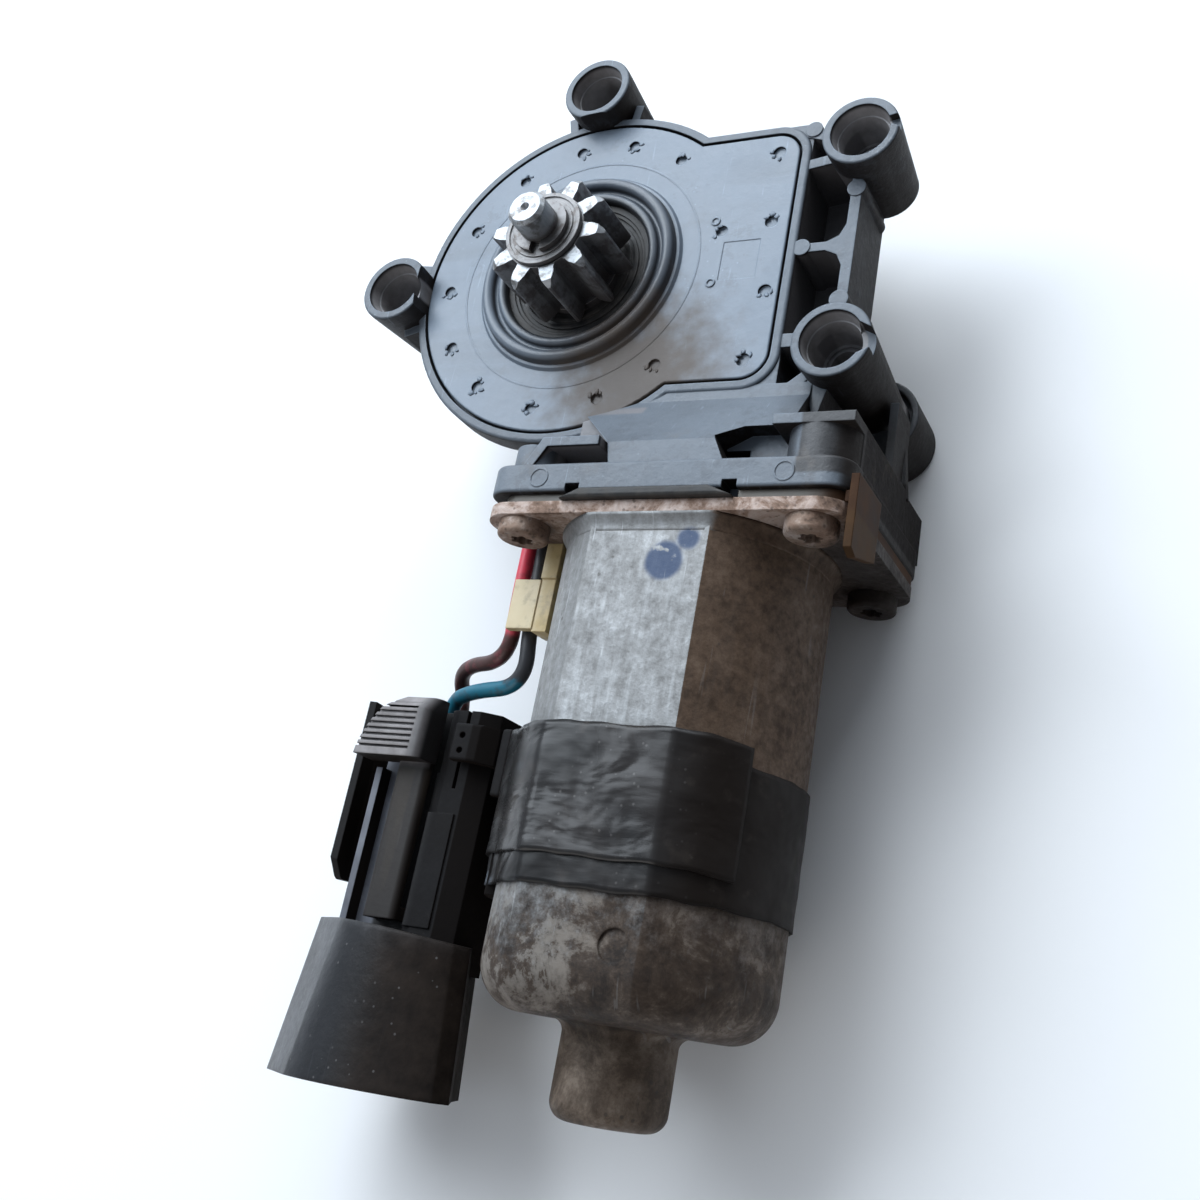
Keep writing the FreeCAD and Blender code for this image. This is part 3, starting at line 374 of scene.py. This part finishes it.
def cover_material():
    """Blue-grey dust, darker on the hub, painted shade in the well round the pinion, with a painted brown
    reflection low on the right.
    """
    black = (0.036, 0.043, 0.054)
    dust = (0.165, 0.205, 0.255)
    m, color, rough, normal, spec = plastic("cover_plastic", black, dust, 0.36, 0.3, film=0.95,
                                            dust_at=0.34, grain=0.08, edge=0.6)
    crinkle = m.noise(300, 7, 0.72)
    normal = m.bump(crinkle, 0.14, 0.5, normal)
    wiped = m.times(m.step(crinkle, 0.52, 0.60), m.blotch(55, 4, 0.46, 0.60))
    color = m.layer(color, wiped, 0.25, (0.080, 0.092, 0.110))
    hub = m.within(19.5, 17.5)
    color = m.layer(color, hub, m.more(0.35, m.along(X, -12, 4), 0.35), (0.052, 0.057, 0.066))
    # painted shade: near black in the well round the pinion
    well = m.within(15.0, 13.8)
    color = m.layer(color, well, 0.9, (0.012, 0.012, 0.013))
    # painted reflection: a brown tint low on the right, with less specular there
    brown_reflection = m.times(m.near(15, -21, 14, 8), 0.92)
    color = m.mix(brown_reflection, color, (0.100, 0.078, 0.062))
    smear = m.noise(1.0, 3, 0.5, m.scaled(16, 60, 20, 35), 1.2)
    color = m.layer(color, m.step(smear, 0.50, 0.68), 0.35, (0.090, 0.104, 0.122))
    return m.done(color, rough, normal, spec=m.times(spec, m.less(1.0, brown_reflection, 0.65)))


def steel_material():
    """Bare steel: clean and bright on faces that look out; dark between and below, with grease and
    painted shade.
    """
    m = Mat("bright_steel")
    steel = (0.43, 0.45, 0.47)
    brushed = m.noise(1.0, 4, 0.6, m.scaled(300, 2400, 400, 30))
    patches = m.noise(420, 5, 0.65)
    color = m.mix(m.step(brushed, 0.3, 0.75), tuple(c * 0.75 for c in steel), steel)
    color = m.layer(color, m.step(patches, 0.50, 0.62), 0.7, (0.13, 0.115, 0.105))
    washer = m.times(m.within(7.4, 6.9), m.along(Z, 15.2, 14.6))
    color = m.layer(color, washer, 0.7, (0.085, 0.072, 0.064))

    # grease and painted shade: the flanks and the lower part go dark
    flanks = m.times(m.faces(Z, 0.85, 0.3), m.more(0.58, m.step(patches, 0.4, 0.6), 0.3))
    foot = m.times(m.along(Z, 9, 2), 0.93)
    axle_tip = m.along(Z, 15.0, 15.8)
    grease_and_shade = m.times(m.either(foot, flanks), m.less(1.0, axle_tip, 0.6))
    color = m.mix(grease_and_shade, color, (0.058, 0.052, 0.054))
    # edges lightened: partly wear, partly a painted highlight
    color = m.layer(color, m.edges(0.22, 0.03, 0.2), 0.5, (0.42, 0.40, 0.38))
    rough = m.ramp(m.weigh(patches, 0.6, brushed, 0.4), [(0.3, 0.36), (0.7, 0.62)])
    normal = m.bump(brushed, 0.12, 0.2, m.rounded(0.2))
    normal = m.bump(patches, 0.3, 0.3, normal)
    return m.done(color, rough, normal, m.less(1.0, grease_and_shade, 0.9))


def rust_material(name, dark, light, metal):
    """Pitted rust, with painted shade: darker towards the floor and black at its right end."""
    m = Mat(name)
    crust = m.noise(190, 7, 0.7, distort=0.4)
    pits = m.cells(900)
    color = m.ramp(crust, [(0.36, dark), (0.46, (0.24, 0.155, 0.112)),
                           (0.56, light), (0.72, (0.54, 0.46, 0.42))])
    color = m.layer(color, m.step(pits, 0.3, 0.12), 0.6, (0.06, 0.038, 0.028))
    # painted shade: darker towards the floor and black at the right end
    under = m.along(Z, 10.5, -4)
    color = m.layer(color, under, 0.72, (0.040, 0.029, 0.023))
    far = m.times(m.along(X, 43, 53), m.along(Z, 5, -4))
    color = m.layer(color, far, 0.8, (0.012, 0.010, 0.009))
    normal = m.bump(crust, 0.6, 0.6, m.rounded(0.25))
    normal = m.bump(pits, 0.35, 0.3, normal)
    return m.done(color, m.ramp(crust, [(0.3, 0.85), (0.75, 0.5)]), normal, metal, spec=0.4)


def can_material():
    """Dull zinc: grainy and scuffed, with painted brown shade and reflection on the right flank and
    below, and black-brown towards the nose.
    """
    m = Mat("zinc_steel")
    drawn = m.noise(1.0, 4, 0.6, m.scaled(1500, 130, 1500))
    broad = m.noise(36, 5, 0.6)
    grain = m.weigh(m.noise(150, 8, 0.72), 0.42, m.noise(620, 5, 0.72), 0.58)
    color = m.ramp(grain, [(0.36, (0.155, 0.152, 0.148)), (0.46, (0.215, 0.215, 0.212)),
                           (0.56, (0.255, 0.258, 0.258)), (0.68, (0.33, 0.34, 0.345))])
    color = m.layer(color, m.step(drawn, 0.42, 0.64), 0.42, (0.175, 0.172, 0.167))
    streaks = m.noise(1.0, 3, 0.6, m.scaled(420, 60, 420), 0.3)
    rubbed = m.times(m.step(streaks, 0.52, 0.66), m.step(broad, 0.4, 0.6))
    color = m.layer(color, rubbed, 0.45, (0.38, 0.39, 0.395))

    # Flaking crust below the tape, with a ragged upper border and bare spots on its left.
    wobble = m.math("SUBTRACT", broad, 0.5)
    ragged = m.weigh(wobble, 30 * MM, m.math("SUBTRACT", grain, 0.5), 45 * MM)
    crusted = m.step(m.math("ADD", m.axis(Y), ragged), -90 * MM, -112 * MM)
    flakes = m.noise(130, 10, 0.76, distort=0.3)
    crust = m.ramp(flakes, [(0.40, (0.017, 0.011, 0.008)), (0.49, (0.046, 0.031, 0.022)),
                            (0.55, (0.082, 0.060, 0.045)), (0.60, (0.17, 0.138, 0.112))])
    bare = m.times(m.step(flakes, 0.515, 0.540), m.along(X, 36, 22), m.along(Y, -121.5, -115.0))
    crust = m.layer(crust, bare, 0.55, (0.21, 0.195, 0.175))
    color = m.layer(color, crusted, 0.95, crust)
    nose = m.along(Y, -119.5, -122.0)
    nose_tones = m.ramp(flakes, [(0.42, (0.085, 0.061, 0.044)), (0.60, (0.22, 0.17, 0.13))])
    color = m.layer(color, nose, 0.6, nose_tones)

    # painted shade and brown reflection on the right flank
    shaded_flank = m.step(m.more(m.facing(X), wobble, 0.25), 0.12, 0.42)
    tan = m.ramp(grain, [(0.38, (0.044, 0.025, 0.014)), (0.52, (0.092, 0.055, 0.033)),
                         (0.66, (0.140, 0.092, 0.060))])
    color = m.layer(color, shaded_flank, m.less(0.94, crusted, 0.78), tan)
    # painted shade: darker towards the underside
    under = m.along(Z, -4, -24)
    color = m.layer(color, under, 0.75, (0.048, 0.038, 0.031))
    spots = m.times(m.dots(520, 0.20, 0.10), m.blotch(90, 3, 0.54, 0.62))
    color = m.layer(color, spots, 0.6, (0.050, 0.042, 0.036))

    # Two dabs of blue paint near the flange, on the upper flat.
    paint = m.either(m.near(31.3, -57.5, 2.9, 0.5, 9.3), m.near(34.6, -54.1, 1.7, 0.5, 9.3))
    paint = m.times(paint, m.blotch(420, 3, 0.30, 0.40))
    color = m.layer(color, paint, 0.88, (0.062, 0.092, 0.165))
    clear = m.math("SUBTRACT", 1.0, m.either(crusted, shaded_flank))
    color = m.layer(color, scratches(m, 9.0, 0.69), m.more(0.10, clear, 0.5), (0.46, 0.47, 0.48))
    clean = m.math("SUBTRACT", clear, paint, clamp=True)
    rough = m.ramp(grain, [(0.4, 0.66), (0.6, 0.44)])
    normal = m.bump(grain, 0.45, 0.4, m.rounded(0.4))
    return m.done(color, rough, normal, m.times(clean, 0.4), spec=m.more(0.12, clean, 0.4))


def tape_material():
    """Black tape: glossy with soft dents and pressed lines on the left, with painted highlights on its
    creases; dull, with painted brown shade, on the right.
    """
    m = Mat("tape")
    folds = m.noise(1.0, 3, 0.5, m.scaled(70, 130, 70), 0.4)
    lines = m.noise(1.0, 3, 0.55, m.scaled(160, 900, 160), 0.2)
    color = m.mix(m.blotch(60, 5, 0.4, 0.72), (0.013, 0.0125, 0.0125), (0.022, 0.019, 0.018))
    # painted highlights on the creases, strongest on the left
    crest_highlight = m.times(m.step(folds, 0.55, 0.68), m.step(lines, 0.40, 0.62))
    left = m.along(X, 22, 9)
    color = m.layer(color, crest_highlight, m.more(0.05, left, 0.65), (0.115, 0.132, 0.155))
    color = m.layer(color, specks(m, 620), 0.4, (0.16, 0.15, 0.145))
    # painted shade: dark brown on the right
    right = m.along(X, 34, 44)
    color = m.layer(color, right, 0.85, (0.014, 0.010, 0.008))
    color = m.layer(color, m.blotch(240, 6, 0.56, 0.70), 0.3, (0.050, 0.041, 0.034))
    rough = m.more(m.ramp(folds, [(0.35, 0.22), (0.65, 0.36)]), right, 0.2)
    normal = m.bump(lines, 0.12, 0.2, m.bump(folds, 0.5, 1.4))
    middle = m.along(X, 11, 22)
    lower_edge = m.along(Y, -98.5, -102.5)
    dull = m.either(m.times(right, 0.40), m.times(lower_edge, 0.34), m.times(middle, 0.22))
    return m.done(color, rough, normal, spec=m.math("SUBTRACT", 0.5, dull))


def cream_material():
    """Yellowed nylon; its flange edge is dark grey and its right tab is painted dark brown shade."""
    m = Mat("cream_plastic")
    cloud = m.noise(160, 5, 0.6)
    color = m.mix(m.step(cloud, 0.35, 0.7), (0.64, 0.52, 0.31), (0.52, 0.385, 0.18))
    pale = m.times(m.faces(Z, 0.5, 0.9), m.along(X, 4.5, 3.5))
    color = m.layer(color, pale, 0.7, (0.66, 0.555, 0.365))
    amber = m.along(X, 4.2, 5.5)
    color = m.layer(color, amber, 0.5, (0.42, 0.29, 0.10))
    color = m.layer(color, m.blotch(300, 6, 0.50, 0.66), 0.45, (0.18, 0.145, 0.10))
    edge = m.along(Y, -50.5, -49.6)
    edge_tones = m.ramp(cloud, [(0.3, (0.050, 0.046, 0.042)), (0.7, (0.13, 0.12, 0.11))])
    color = m.layer(color, edge, 0.93, edge_tones)
    # painted shade: dark brown on the right tab, with less specular
    tab = m.along(X, 50, 56)
    tab_tones = m.ramp(cloud, [(0.3, (0.025, 0.011, 0.006)), (0.7, (0.068, 0.034, 0.018))])
    color = m.layer(color, tab, 0.97, tab_tones)
    rough = m.ramp(cloud, [(0.3, 0.42), (0.7, 0.6)])
    normal = m.bump(m.noise(600, 3), 0.1, 0.2, m.rounded(0.3))
    return m.done(color, rough, normal, spec=m.less(0.5, tab, 0.46))


def connector_material():
    """Black body and clip: the rails on the left are grey with dust, the right is clean and dark."""
    black = (0.008, 0.008, 0.009)
    dust = (0.014, 0.0125, 0.012)
    m, color, rough, normal, spec = plastic("connector_plastic", black, dust, 0.50, 0.5, edge=0.25)
    rail = m.times(m.along(X, -18.4, -19.2), m.along(X, -26.8, -26.0), m.faces(Z, 0.3, 0.8))
    rail_tones = m.ramp(m.noise(170, 5), [(0.3, (0.11, 0.115, 0.132)), (0.7, (0.22, 0.23, 0.262))])
    color = m.layer(color, rail, 0.85, rail_tones)
    right = m.along(X, -12, -10)
    return m.done(color, rough, normal, spec=m.times(spec, m.less(0.4, right, 0.28)))


def sleeve_material():
    """Black shroud: a painted highlight on its left facet, dust round its neck, clean to the right with
    painted dark brown shade.
    """
    black = (0.009, 0.009, 0.010)
    dust = (0.014, 0.014, 0.016)
    m, color, rough, normal, spec = plastic("sleeve_plastic", black, dust, 0.36, 0.6, soften=1.1)
    cloud = m.noise(170, 6, 0.65)
    # painted highlight on the left facet; the neck's paleness is dust
    left = m.faces(X, -0.25, -0.6)
    neck = m.times(m.along(Y, -115.0, -111.2), m.step(cloud, 0.3, 0.6))
    pale = m.ramp(cloud, [(0.3, (0.026, 0.026, 0.027)), (0.7, (0.084, 0.086, 0.094))])
    color = m.mix(m.either(m.times(left, 0.85), m.times(neck, 0.55)), color, pale)
    # painted shade: dark brown to the right
    right = m.along(X, -18, -8)
    right_tones = m.ramp(cloud, [(0.35, (0.011, 0.008, 0.006)), (0.7, (0.036, 0.026, 0.020))])
    color = m.layer(color, right, 0.7, right_tones)
    grit = m.times(m.dots(640, 0.15, 0.08), m.blotch(90, 3, 0.46, 0.58))
    color = m.layer(color, grit, 0.55, (0.15, 0.145, 0.145))
    normal = m.bump(cloud, 0.25, 0.6, normal)
    return m.done(color, rough, normal, spec=m.times(spec, m.less(0.75, right, 0.55)))


def latch_material():
    """The ribbed pad is grey with dust; the arm is as dark as the body with a brown sheen."""
    black = (0.014, 0.012, 0.011)
    dust = (0.030, 0.026, 0.024)
    m, color, rough, normal, spec = plastic("latch_plastic", black, dust, 0.46, 0.4, dust_at=0.4)
    head = m.along(Y, -86.8, -85.0)
    pad = m.times(head, m.faces(Z, 0.1, 0.7))
    pad_tones = m.ramp(m.noise(220, 5, 0.65), [(0.3, (0.140, 0.124, 0.120)), (0.7, (0.29, 0.268, 0.265))])
    color = m.layer(color, pad, 0.9, pad_tones)
    right_cheek = m.times(head, m.along(X, -15.2, -13.2))
    color = m.layer(color, right_cheek, 0.75, (0.028, 0.026, 0.027))
    arm = m.along(Y, -86.2, -87.2)
    sheen = m.noise(1.0, 2, 0.5, m.scaled(260, 30, 260))
    color = m.layer(color, m.times(m.step(sheen, 0.46, 0.6), arm), 0.6, (0.046, 0.037, 0.029))
    return m.done(color, rough, normal, spec=m.times(spec, m.less(0.75, arm, 0.35)))


def wire_material(name, plug_end, clip_end, lo, hi):
    """Insulation that turns from one colour at the plug to another at the clip, between two y."""
    m = Mat(name)
    wobble = m.math("SUBTRACT", m.noise(220, 4), 0.5)
    y = m.more(m.axis(Y), wobble, 6 * MM)
    color = m.mix(m.step(y, lo * MM, hi * MM), plug_end, clip_end)
    grime = tuple(0.35 * c + 0.03 for c in clip_end)
    color = m.layer(color, m.blotch(500, 5, 0.48, 0.66), 0.55, grime)
    rough = m.ramp(m.noise(300, 3), [(0.3, 0.36), (0.7, 0.54)])
    return m.done(color, rough, m.bump(m.noise(800, 3), 0.15, 0.2))


def plain(name, dark, light, rough, metal=0.0, scale=260, relief=0.2):
    """Two-tone mottled material for the inner pieces and the seals."""
    m = Mat(name)
    cloud = m.noise(scale, 6, 0.62)
    color = m.mix(m.step(cloud, 0.35, 0.68), dark, light)
    rough = m.ramp(cloud, [(0.3, rough - 0.08), (0.7, rough + 0.1)])
    normal = m.bump(m.noise(scale * 3, 4), relief, 0.2, m.rounded(0.2))
    return m.done(color, rough, normal, metal)


RED_CLEAN, RED_DIRTY = (0.60, 0.040, 0.070), (0.054, 0.018, 0.014)
BLUE_CLEAN, BLUE_DIRTY = (0.008, 0.125, 0.185), (0.026, 0.026, 0.029)
MATS = {
    "housing_plastic": housing_material(),
    "cover_plastic": cover_material(),
    "rubber": plain("rubber", (0.012, 0.012, 0.012), (0.045, 0.040, 0.036), 0.6, 0, 300, 0.5),
    "bright_steel": steel_material(),
    "rusty_steel": rust_material("rusty_steel", (0.09, 0.056, 0.040), (0.44, 0.34, 0.29), 0.2),
    "screw_steel": rust_material("screw_steel", (0.05, 0.034, 0.025), (0.27, 0.195, 0.15), 0.35),
    "zinc_steel": can_material(),
    "lamination_steel": plain("lamination_steel", (0.10, 0.10, 0.11), (0.20, 0.20, 0.21), 0.45, 0.8),
    "ferrite": plain("ferrite", (0.03, 0.03, 0.032), (0.06, 0.06, 0.062), 0.7),
    "copper": plain("copper", (0.55, 0.22, 0.10), (0.68, 0.33, 0.17), 0.32, 0.9),
    "brass": plain("brass", (0.55, 0.40, 0.16), (0.70, 0.54, 0.26), 0.32, 0.95),
    "bronze": plain("bronze", (0.38, 0.25, 0.13), (0.48, 0.33, 0.19), 0.5, 0.8),
    "carbon": plain("carbon", (0.02, 0.02, 0.021), (0.05, 0.05, 0.052), 0.6),
    "cream_plastic": cream_material(),
    "gear_nylon": plain("gear_nylon", (0.70, 0.66, 0.56), (0.80, 0.77, 0.68), 0.4),
    "wire_red": wire_material("wire_red", RED_DIRTY, RED_CLEAN, -66.0, -63.0),
    "wire_blue": wire_material("wire_blue", BLUE_CLEAN, BLUE_DIRTY, -72.2, -71.2),
    "connector_plastic": connector_material(),
    "sleeve_plastic": sleeve_material(),
    "latch_plastic": latch_material(),
    "tape": tape_material(),
}
for row in frame["record"]["subparts"]:
    mesh = NODES[row["node"]].data
    mesh.materials.clear()
    mesh.materials.append(MATS[row["material_slot"]])


# ---- mesh pieces -------------------------------------------------------------
def new_piece(name, bm, slot, *nodes):
    """A smooth piece on the housing from a bmesh, in place of the nodes named, if any."""
    mesh = bpy.data.meshes.new(name)
    bm.normal_update()
    bm.to_mesh(mesh)
    bm.free()
    obj = bpy.data.objects.new(name, mesh)
    bpy.context.scene.collection.objects.link(obj)
    for face in mesh.polygons:
        face.use_smooth = True
    mesh.materials.append(MATS[slot])
    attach(obj, "housing")
    if nodes:
        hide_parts(*nodes)


def around_motor(bm, angle, radius, y):
    """A vertex at an angle and radius round the motor's axis."""
    x = MOTOR_X + radius * math.cos(angle)
    z = MOTOR_Z + radius * math.sin(angle)
    return bm.verts.new((x * MM, y * MM, z * MM))


def can_radius(angle, grow):
    """Distance of the can's skin from its axis, with its two flats."""
    height = abs(math.sin(angle)) * (CAN_R + grow)
    if height > CAN_FLAT + grow:
        return (CAN_FLAT + grow) / abs(math.sin(angle))
    return CAN_R + grow


# The plug's clip lies under the tape between these angles; the tape climbs over it in CLIP_RISE.
CLIP_FROM, CLIP_TO, CLIP_RISE, CLIP_THICK = 142, 232, 16, 1.5


def tape_radius(angle, grow):
    """The can's skin, eased out over the connector clip on the left."""
    degrees = math.degrees(angle) % 360
    climb = max(0.0, min(1.0, (degrees - CLIP_FROM) / CLIP_RISE))
    climb *= max(0.0, min(1.0, (CLIP_TO - degrees) / CLIP_RISE))
    climb = climb * climb * (3 - 2 * climb)
    return can_radius(angle, grow) * (1 - climb) + (CAN_R + CLIP_THICK + grow) * climb


TAPE_COLUMN = 1.5  # degrees
TAPE_ROWS = 26


def tape_piece(name, node, ends, borders, grow, thick, seed, skew=0.0):
    """One wind of tape as a closed shell with shallow creases and wavering borders.

    ends are its two angles in degrees, borders its two y and grow its gap over the can.
    """
    columns = int((ends[1] - ends[0]) / TAPE_COLUMN)
    bm = bmesh.new()
    low = []
    top = []
    for grid, outer in ((low, 0), (top, 1)):
        for i in range(columns + 1):
            a = math.radians(ends[0] + (ends[1] - ends[0]) * i / columns)
            waver = 0.35 * noise.noise(Vector((a * 5, seed, 0.0)))
            line = []
            for j in range(TAPE_ROWS + 1):
                t = j / TAPE_ROWS
                y = borders[0] + (borders[1] - borders[0]) * t + skew * (i / columns - 0.5)
                y += waver * (1 if j in (0, TAPE_ROWS) else 0.6)
                crease_at = Vector((a * 3.4, y * 0.16, seed)) + Vector((0, y * 0.1, 0))
                crease = noise.fractal(crease_at, 0.9, 2.1, 3)
                valley = abs(noise.noise(Vector((a * 2.2 + y * 0.09, y * 0.05 - a, seed + 3.1))))
                lift = max(0.0, 0.16 + 0.26 * crease - 0.9 * max(0.0, 0.10 - valley))
                ripple = noise.noise(Vector((a * 9, seed + 5, t * 2)))
                skin = outer * (thick + 0.5 * lift + 0.05 * ripple)
                line.append(around_motor(bm, a, tape_radius(a, grow) + skin, y))
            grid.append(line)
    for i in range(columns):
        for j in range(TAPE_ROWS):
            bm.faces.new((top[i][j], top[i + 1][j], top[i + 1][j + 1], top[i][j + 1]))
            bm.faces.new((low[i][j + 1], low[i + 1][j + 1], low[i + 1][j], low[i][j]))
        bm.faces.new((low[i][0], low[i + 1][0], top[i + 1][0], top[i][0]))
        bm.faces.new((top[i][TAPE_ROWS], top[i + 1][TAPE_ROWS], low[i + 1][TAPE_ROWS], low[i][TAPE_ROWS]))
    for i, flip in ((0, False), (columns, True)):
        for j in range(TAPE_ROWS):
            corners = (low[i][j + 1], low[i][j], top[i][j], top[i][j + 1])
            bm.faces.new(corners[::-1] if flip else corners)
    bmesh.ops.recalc_face_normals(bm, faces=bm.faces)
    new_piece(name, bm, "tape", node)


tape_piece("tape_layer_under", "tape_inner", (-164, 215), (-104.0, -84.8), 0.06, 0.4, 11.3)
tape_piece("tape_layer_over", "tape_outer", (33, 232), (-99.8, -81.7), 0.66, 0.45, 4.7, 0.8)


def lump(bm, at, size, seed):
    """Small irregular drop of once-molten plastic."""
    made = bmesh.ops.create_icosphere(bm, subdivisions=2, radius=1.0)
    for v in made["verts"]:
        swell = 1 + 0.45 * noise.noise(v.co * 1.4 + Vector((seed, 0, 0)))
        stretched = Vector((v.co.x * size[0], v.co.y * size[1], v.co.z * size[2]))
        v.co = Vector(at) * MM + stretched * swell * MM


# Weld pits of the cover: angles on their circle, and the places of those off it.
PIT_CIRCLE = 26.6
PIT_ANGLES = (12, 54, 78, 101, 127, 155, 183, 210, 234, 262, 289, 313)
PITS_APART = [(34.2, 20.4), (34.8, 6.4), (35.6, -7.0), (33.8, -19.6)]


def weld_marks():
    """Raised crumbs round the weld pits near the cover's edge."""
    rng = random.Random(7)
    turns = [math.radians(angle) for angle in PIT_ANGLES]
    pits = [(PIT_CIRCLE * math.cos(turn), PIT_CIRCLE * math.sin(turn)) for turn in turns]
    bm = bmesh.new()
    for x, y in pits + PITS_APART:
        start = rng.uniform(0, 360)
        for k in range(rng.randint(3, 5)):
            a = math.radians(start + 52 * k + rng.uniform(-14, 14))
            reach = rng.uniform(1.0, 1.5)
            size = (rng.uniform(0.25, 0.6), rng.uniform(0.25, 0.6), rng.uniform(0.12, 0.26))
            at = (x + reach * math.cos(a), y + reach * math.sin(a), 0.0)
            lump(bm, at, size, rng.uniform(0, 50))
    new_piece("cover_weld_marks", bm, "cover_plastic")


COLLAR_Y, COLLAR_LONG, COLLAR_FLARE, COLLAR_INSET = -50.25, 2.6, 1.1, -0.3
COLLAR_ROWS = 7
COLLAR_COLUMNS = 144


def can_collar():
    """Drawn flare where the can leaves its flange plate."""
    profile = []
    for j in range(COLLAR_ROWS + 1):
        t = j / COLLAR_ROWS
        profile.append((COLLAR_Y - COLLAR_LONG * t, COLLAR_FLARE * (1 - t) ** 2.2))
    profile += [(COLLAR_Y - COLLAR_LONG, COLLAR_INSET), (COLLAR_Y, COLLAR_INSET)]
    angles = [2 * math.pi * i / COLLAR_COLUMNS for i in range(COLLAR_COLUMNS)]
    bm = bmesh.new()
    rings = [[around_motor(bm, a, can_radius(a, grow), y) for a in angles] for y, grow in profile]
    for line, other in zip(rings, rings[1:] + rings[:1]):
        for i in range(COLLAR_COLUMNS):
            j = (i + 1) % COLLAR_COLUMNS
            bm.faces.new((line[i], line[j], other[j], other[i]))
    bmesh.ops.recalc_face_normals(bm, faces=bm.faces)
    new_piece("can_collar", bm, "zinc_steel")


weld_marks()
can_collar()


# ---- wires -------------------------------------------------------------------
WIRE_R = 1.25
RED = [(-1.1, -48.3, -5.0), (-1.3, -58.6, -5.2), (-1.5, -68.6, -6.5), (-14.5, -68.0, -12.0),
       (-15.5, -73.6, -17.6), (-15.5, -85.0, -17.6)]
BLUE = [(1.7, -48.3, -5.0), (1.8, -62.0, -5.2), (2.6, -72.6, -6.5), (-9.5, -72.9, -9.6),
        (-15.5, -74.2, -13.2), (-15.5, -84.0, -13.2)]


def wire(name, route, node):
    """A wire as a round NURBS curve, in its node's own material."""
    curve = bpy.data.curves.new(name, "CURVE")
    curve.dimensions = "3D"
    curve.bevel_depth = WIRE_R * MM
    curve.bevel_resolution = 6
    curve.resolution_u = 16
    curve.use_fill_caps = True
    line = curve.splines.new("NURBS")
    line.points.add(len(route) - 1)
    for point, (x, y, z) in zip(line.points, route):
        point.co = (x * MM, y * MM, z * MM, 1)
    line.use_endpoint_u = True
    line.order_u = 3
    obj = bpy.data.objects.new(name, curve)
    bpy.context.scene.collection.objects.link(obj)
    curve.materials.append(MATS[node])
    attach(obj, "housing")
    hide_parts(node)
    return obj


for piece, route, node, length in (("red_wire", RED, "wire_red", 0.0507),
                                   ("blue_wire", BLUE, "wire_blue", 0.0506)):
    obj = wire(piece, route, node)


# ---- floor, light and camera --------------------------------------------------
FLOOR_GAP = 0.0005  # metres under the lowest point
FLOOR_HALF, FLOOR_CELLS = 3.0, 24
AIM = Vector((*MIDDLE, -0.01))


def area(name, at, size, power, color):
    """A rectangular soft light that looks at the object."""
    light = bpy.data.lights.new(name, "AREA")
    light.shape = "RECTANGLE"
    light.size, light.size_y = size
    light.energy = power
    light.color = color
    obj = bpy.data.objects.new(name, light)
    obj.location = at
    obj.rotation_mode = "QUATERNION"
    obj.rotation_quaternion = (AIM - Vector(at)).to_track_quat("-Z", "Y")
    bpy.context.scene.collection.objects.link(obj)


def floor_piece():
    """Plain pale floor just under the object."""
    bm = bmesh.new()
    bmesh.ops.create_grid(bm, x_segments=FLOOR_CELLS, y_segments=FLOOR_CELLS, size=FLOOR_HALF)
    mesh = bpy.data.meshes.new("floor")
    bm.to_mesh(mesh)
    bm.free()
    obj = bpy.data.objects.new("floor", mesh)
    obj.location = (*MIDDLE, CAD_BOX[0].z - FLOOR_GAP)
    bpy.context.scene.collection.objects.link(obj)
    m = Mat("floor_paper")
    paper = m.mix(m.noise(3, 2), (0.86, 0.86, 0.86), (0.90, 0.90, 0.90))
    mesh.materials.append(m.done(paper, 0.9, spec=0.1))


def camera():
    """The photograph's viewing angle."""
    cam = bpy.data.cameras.new("photo_view")
    obj = bpy.data.objects.new("photo_view", cam)
    bpy.context.scene.collection.objects.link(obj)
    cam.sensor_width = 36.0
    cam.lens = 39.78
    cam.shift_x, cam.shift_y = -0.104, -0.0476
    cam.clip_start, cam.clip_end = 0.01, 20.0
    right = Vector((0.91543, 0.15235, -0.37253))
    up = Vector((0.00467, 0.92151, 0.38833))
    back = Vector((0.40245, -0.35723, 0.84287))
    turn = Matrix((right, up, back)).transposed().to_4x4()
    obj.matrix_world = Matrix.Translation((0.11528, -0.12140, 0.16614)) @ turn
    bpy.context.scene.camera = obj


def studio_world():
    """Dim surround: cool towards the upper left and back, warm and darker towards the right."""
    bright_side = (-0.62, 0.42, 0.66)
    tones = ((0.30, (0.11, 0.095, 0.085, 1)), (0.95, (0.50, 0.58, 0.68, 1)))
    world = bpy.data.worlds.new("studio")
    world.use_nodes = True
    tree = world.node_tree
    background = tree.nodes["Background"]
    direction = tree.nodes.new("ShaderNodeTexCoord")
    towards = tree.nodes.new("ShaderNodeVectorMath")
    towards.operation = "DOT_PRODUCT"
    towards.inputs[1].default_value = bright_side
    span = tree.nodes.new("ShaderNodeMapRange")
    span.inputs["From Min"].default_value = -1.0
    ramp = tree.nodes.new("ShaderNodeValToRGB")
    for element, (place, color) in zip(ramp.color_ramp.elements, tones):
        element.position = place
        element.color = color
    tree.links.new(direction.outputs["Generated"], towards.inputs[0])
    tree.links.new(towards.outputs["Value"], span.inputs["Value"])
    tree.links.new(span.outputs[0], ramp.inputs[0])
    tree.links.new(ramp.outputs[0], background.inputs[0])
    background.inputs[1].default_value = 0.8
    bpy.context.scene.world = world


floor_piece()
area("key_sky", (-0.42, 0.40, 0.66), (0.8, 0.6), 9.6, (0.84, 0.92, 1.0))
area("top_soft", (0.05, 0.75, 0.40), (0.9, 0.4), 6.0, (0.86, 0.93, 1.0))
area("front_fill", (-0.25, -0.75, 0.30), (0.5, 0.4), 1.2, (1.0, 0.97, 0.93))
studio_world()
bpy.context.scene.view_settings.view_transform = "Standard"
camera()
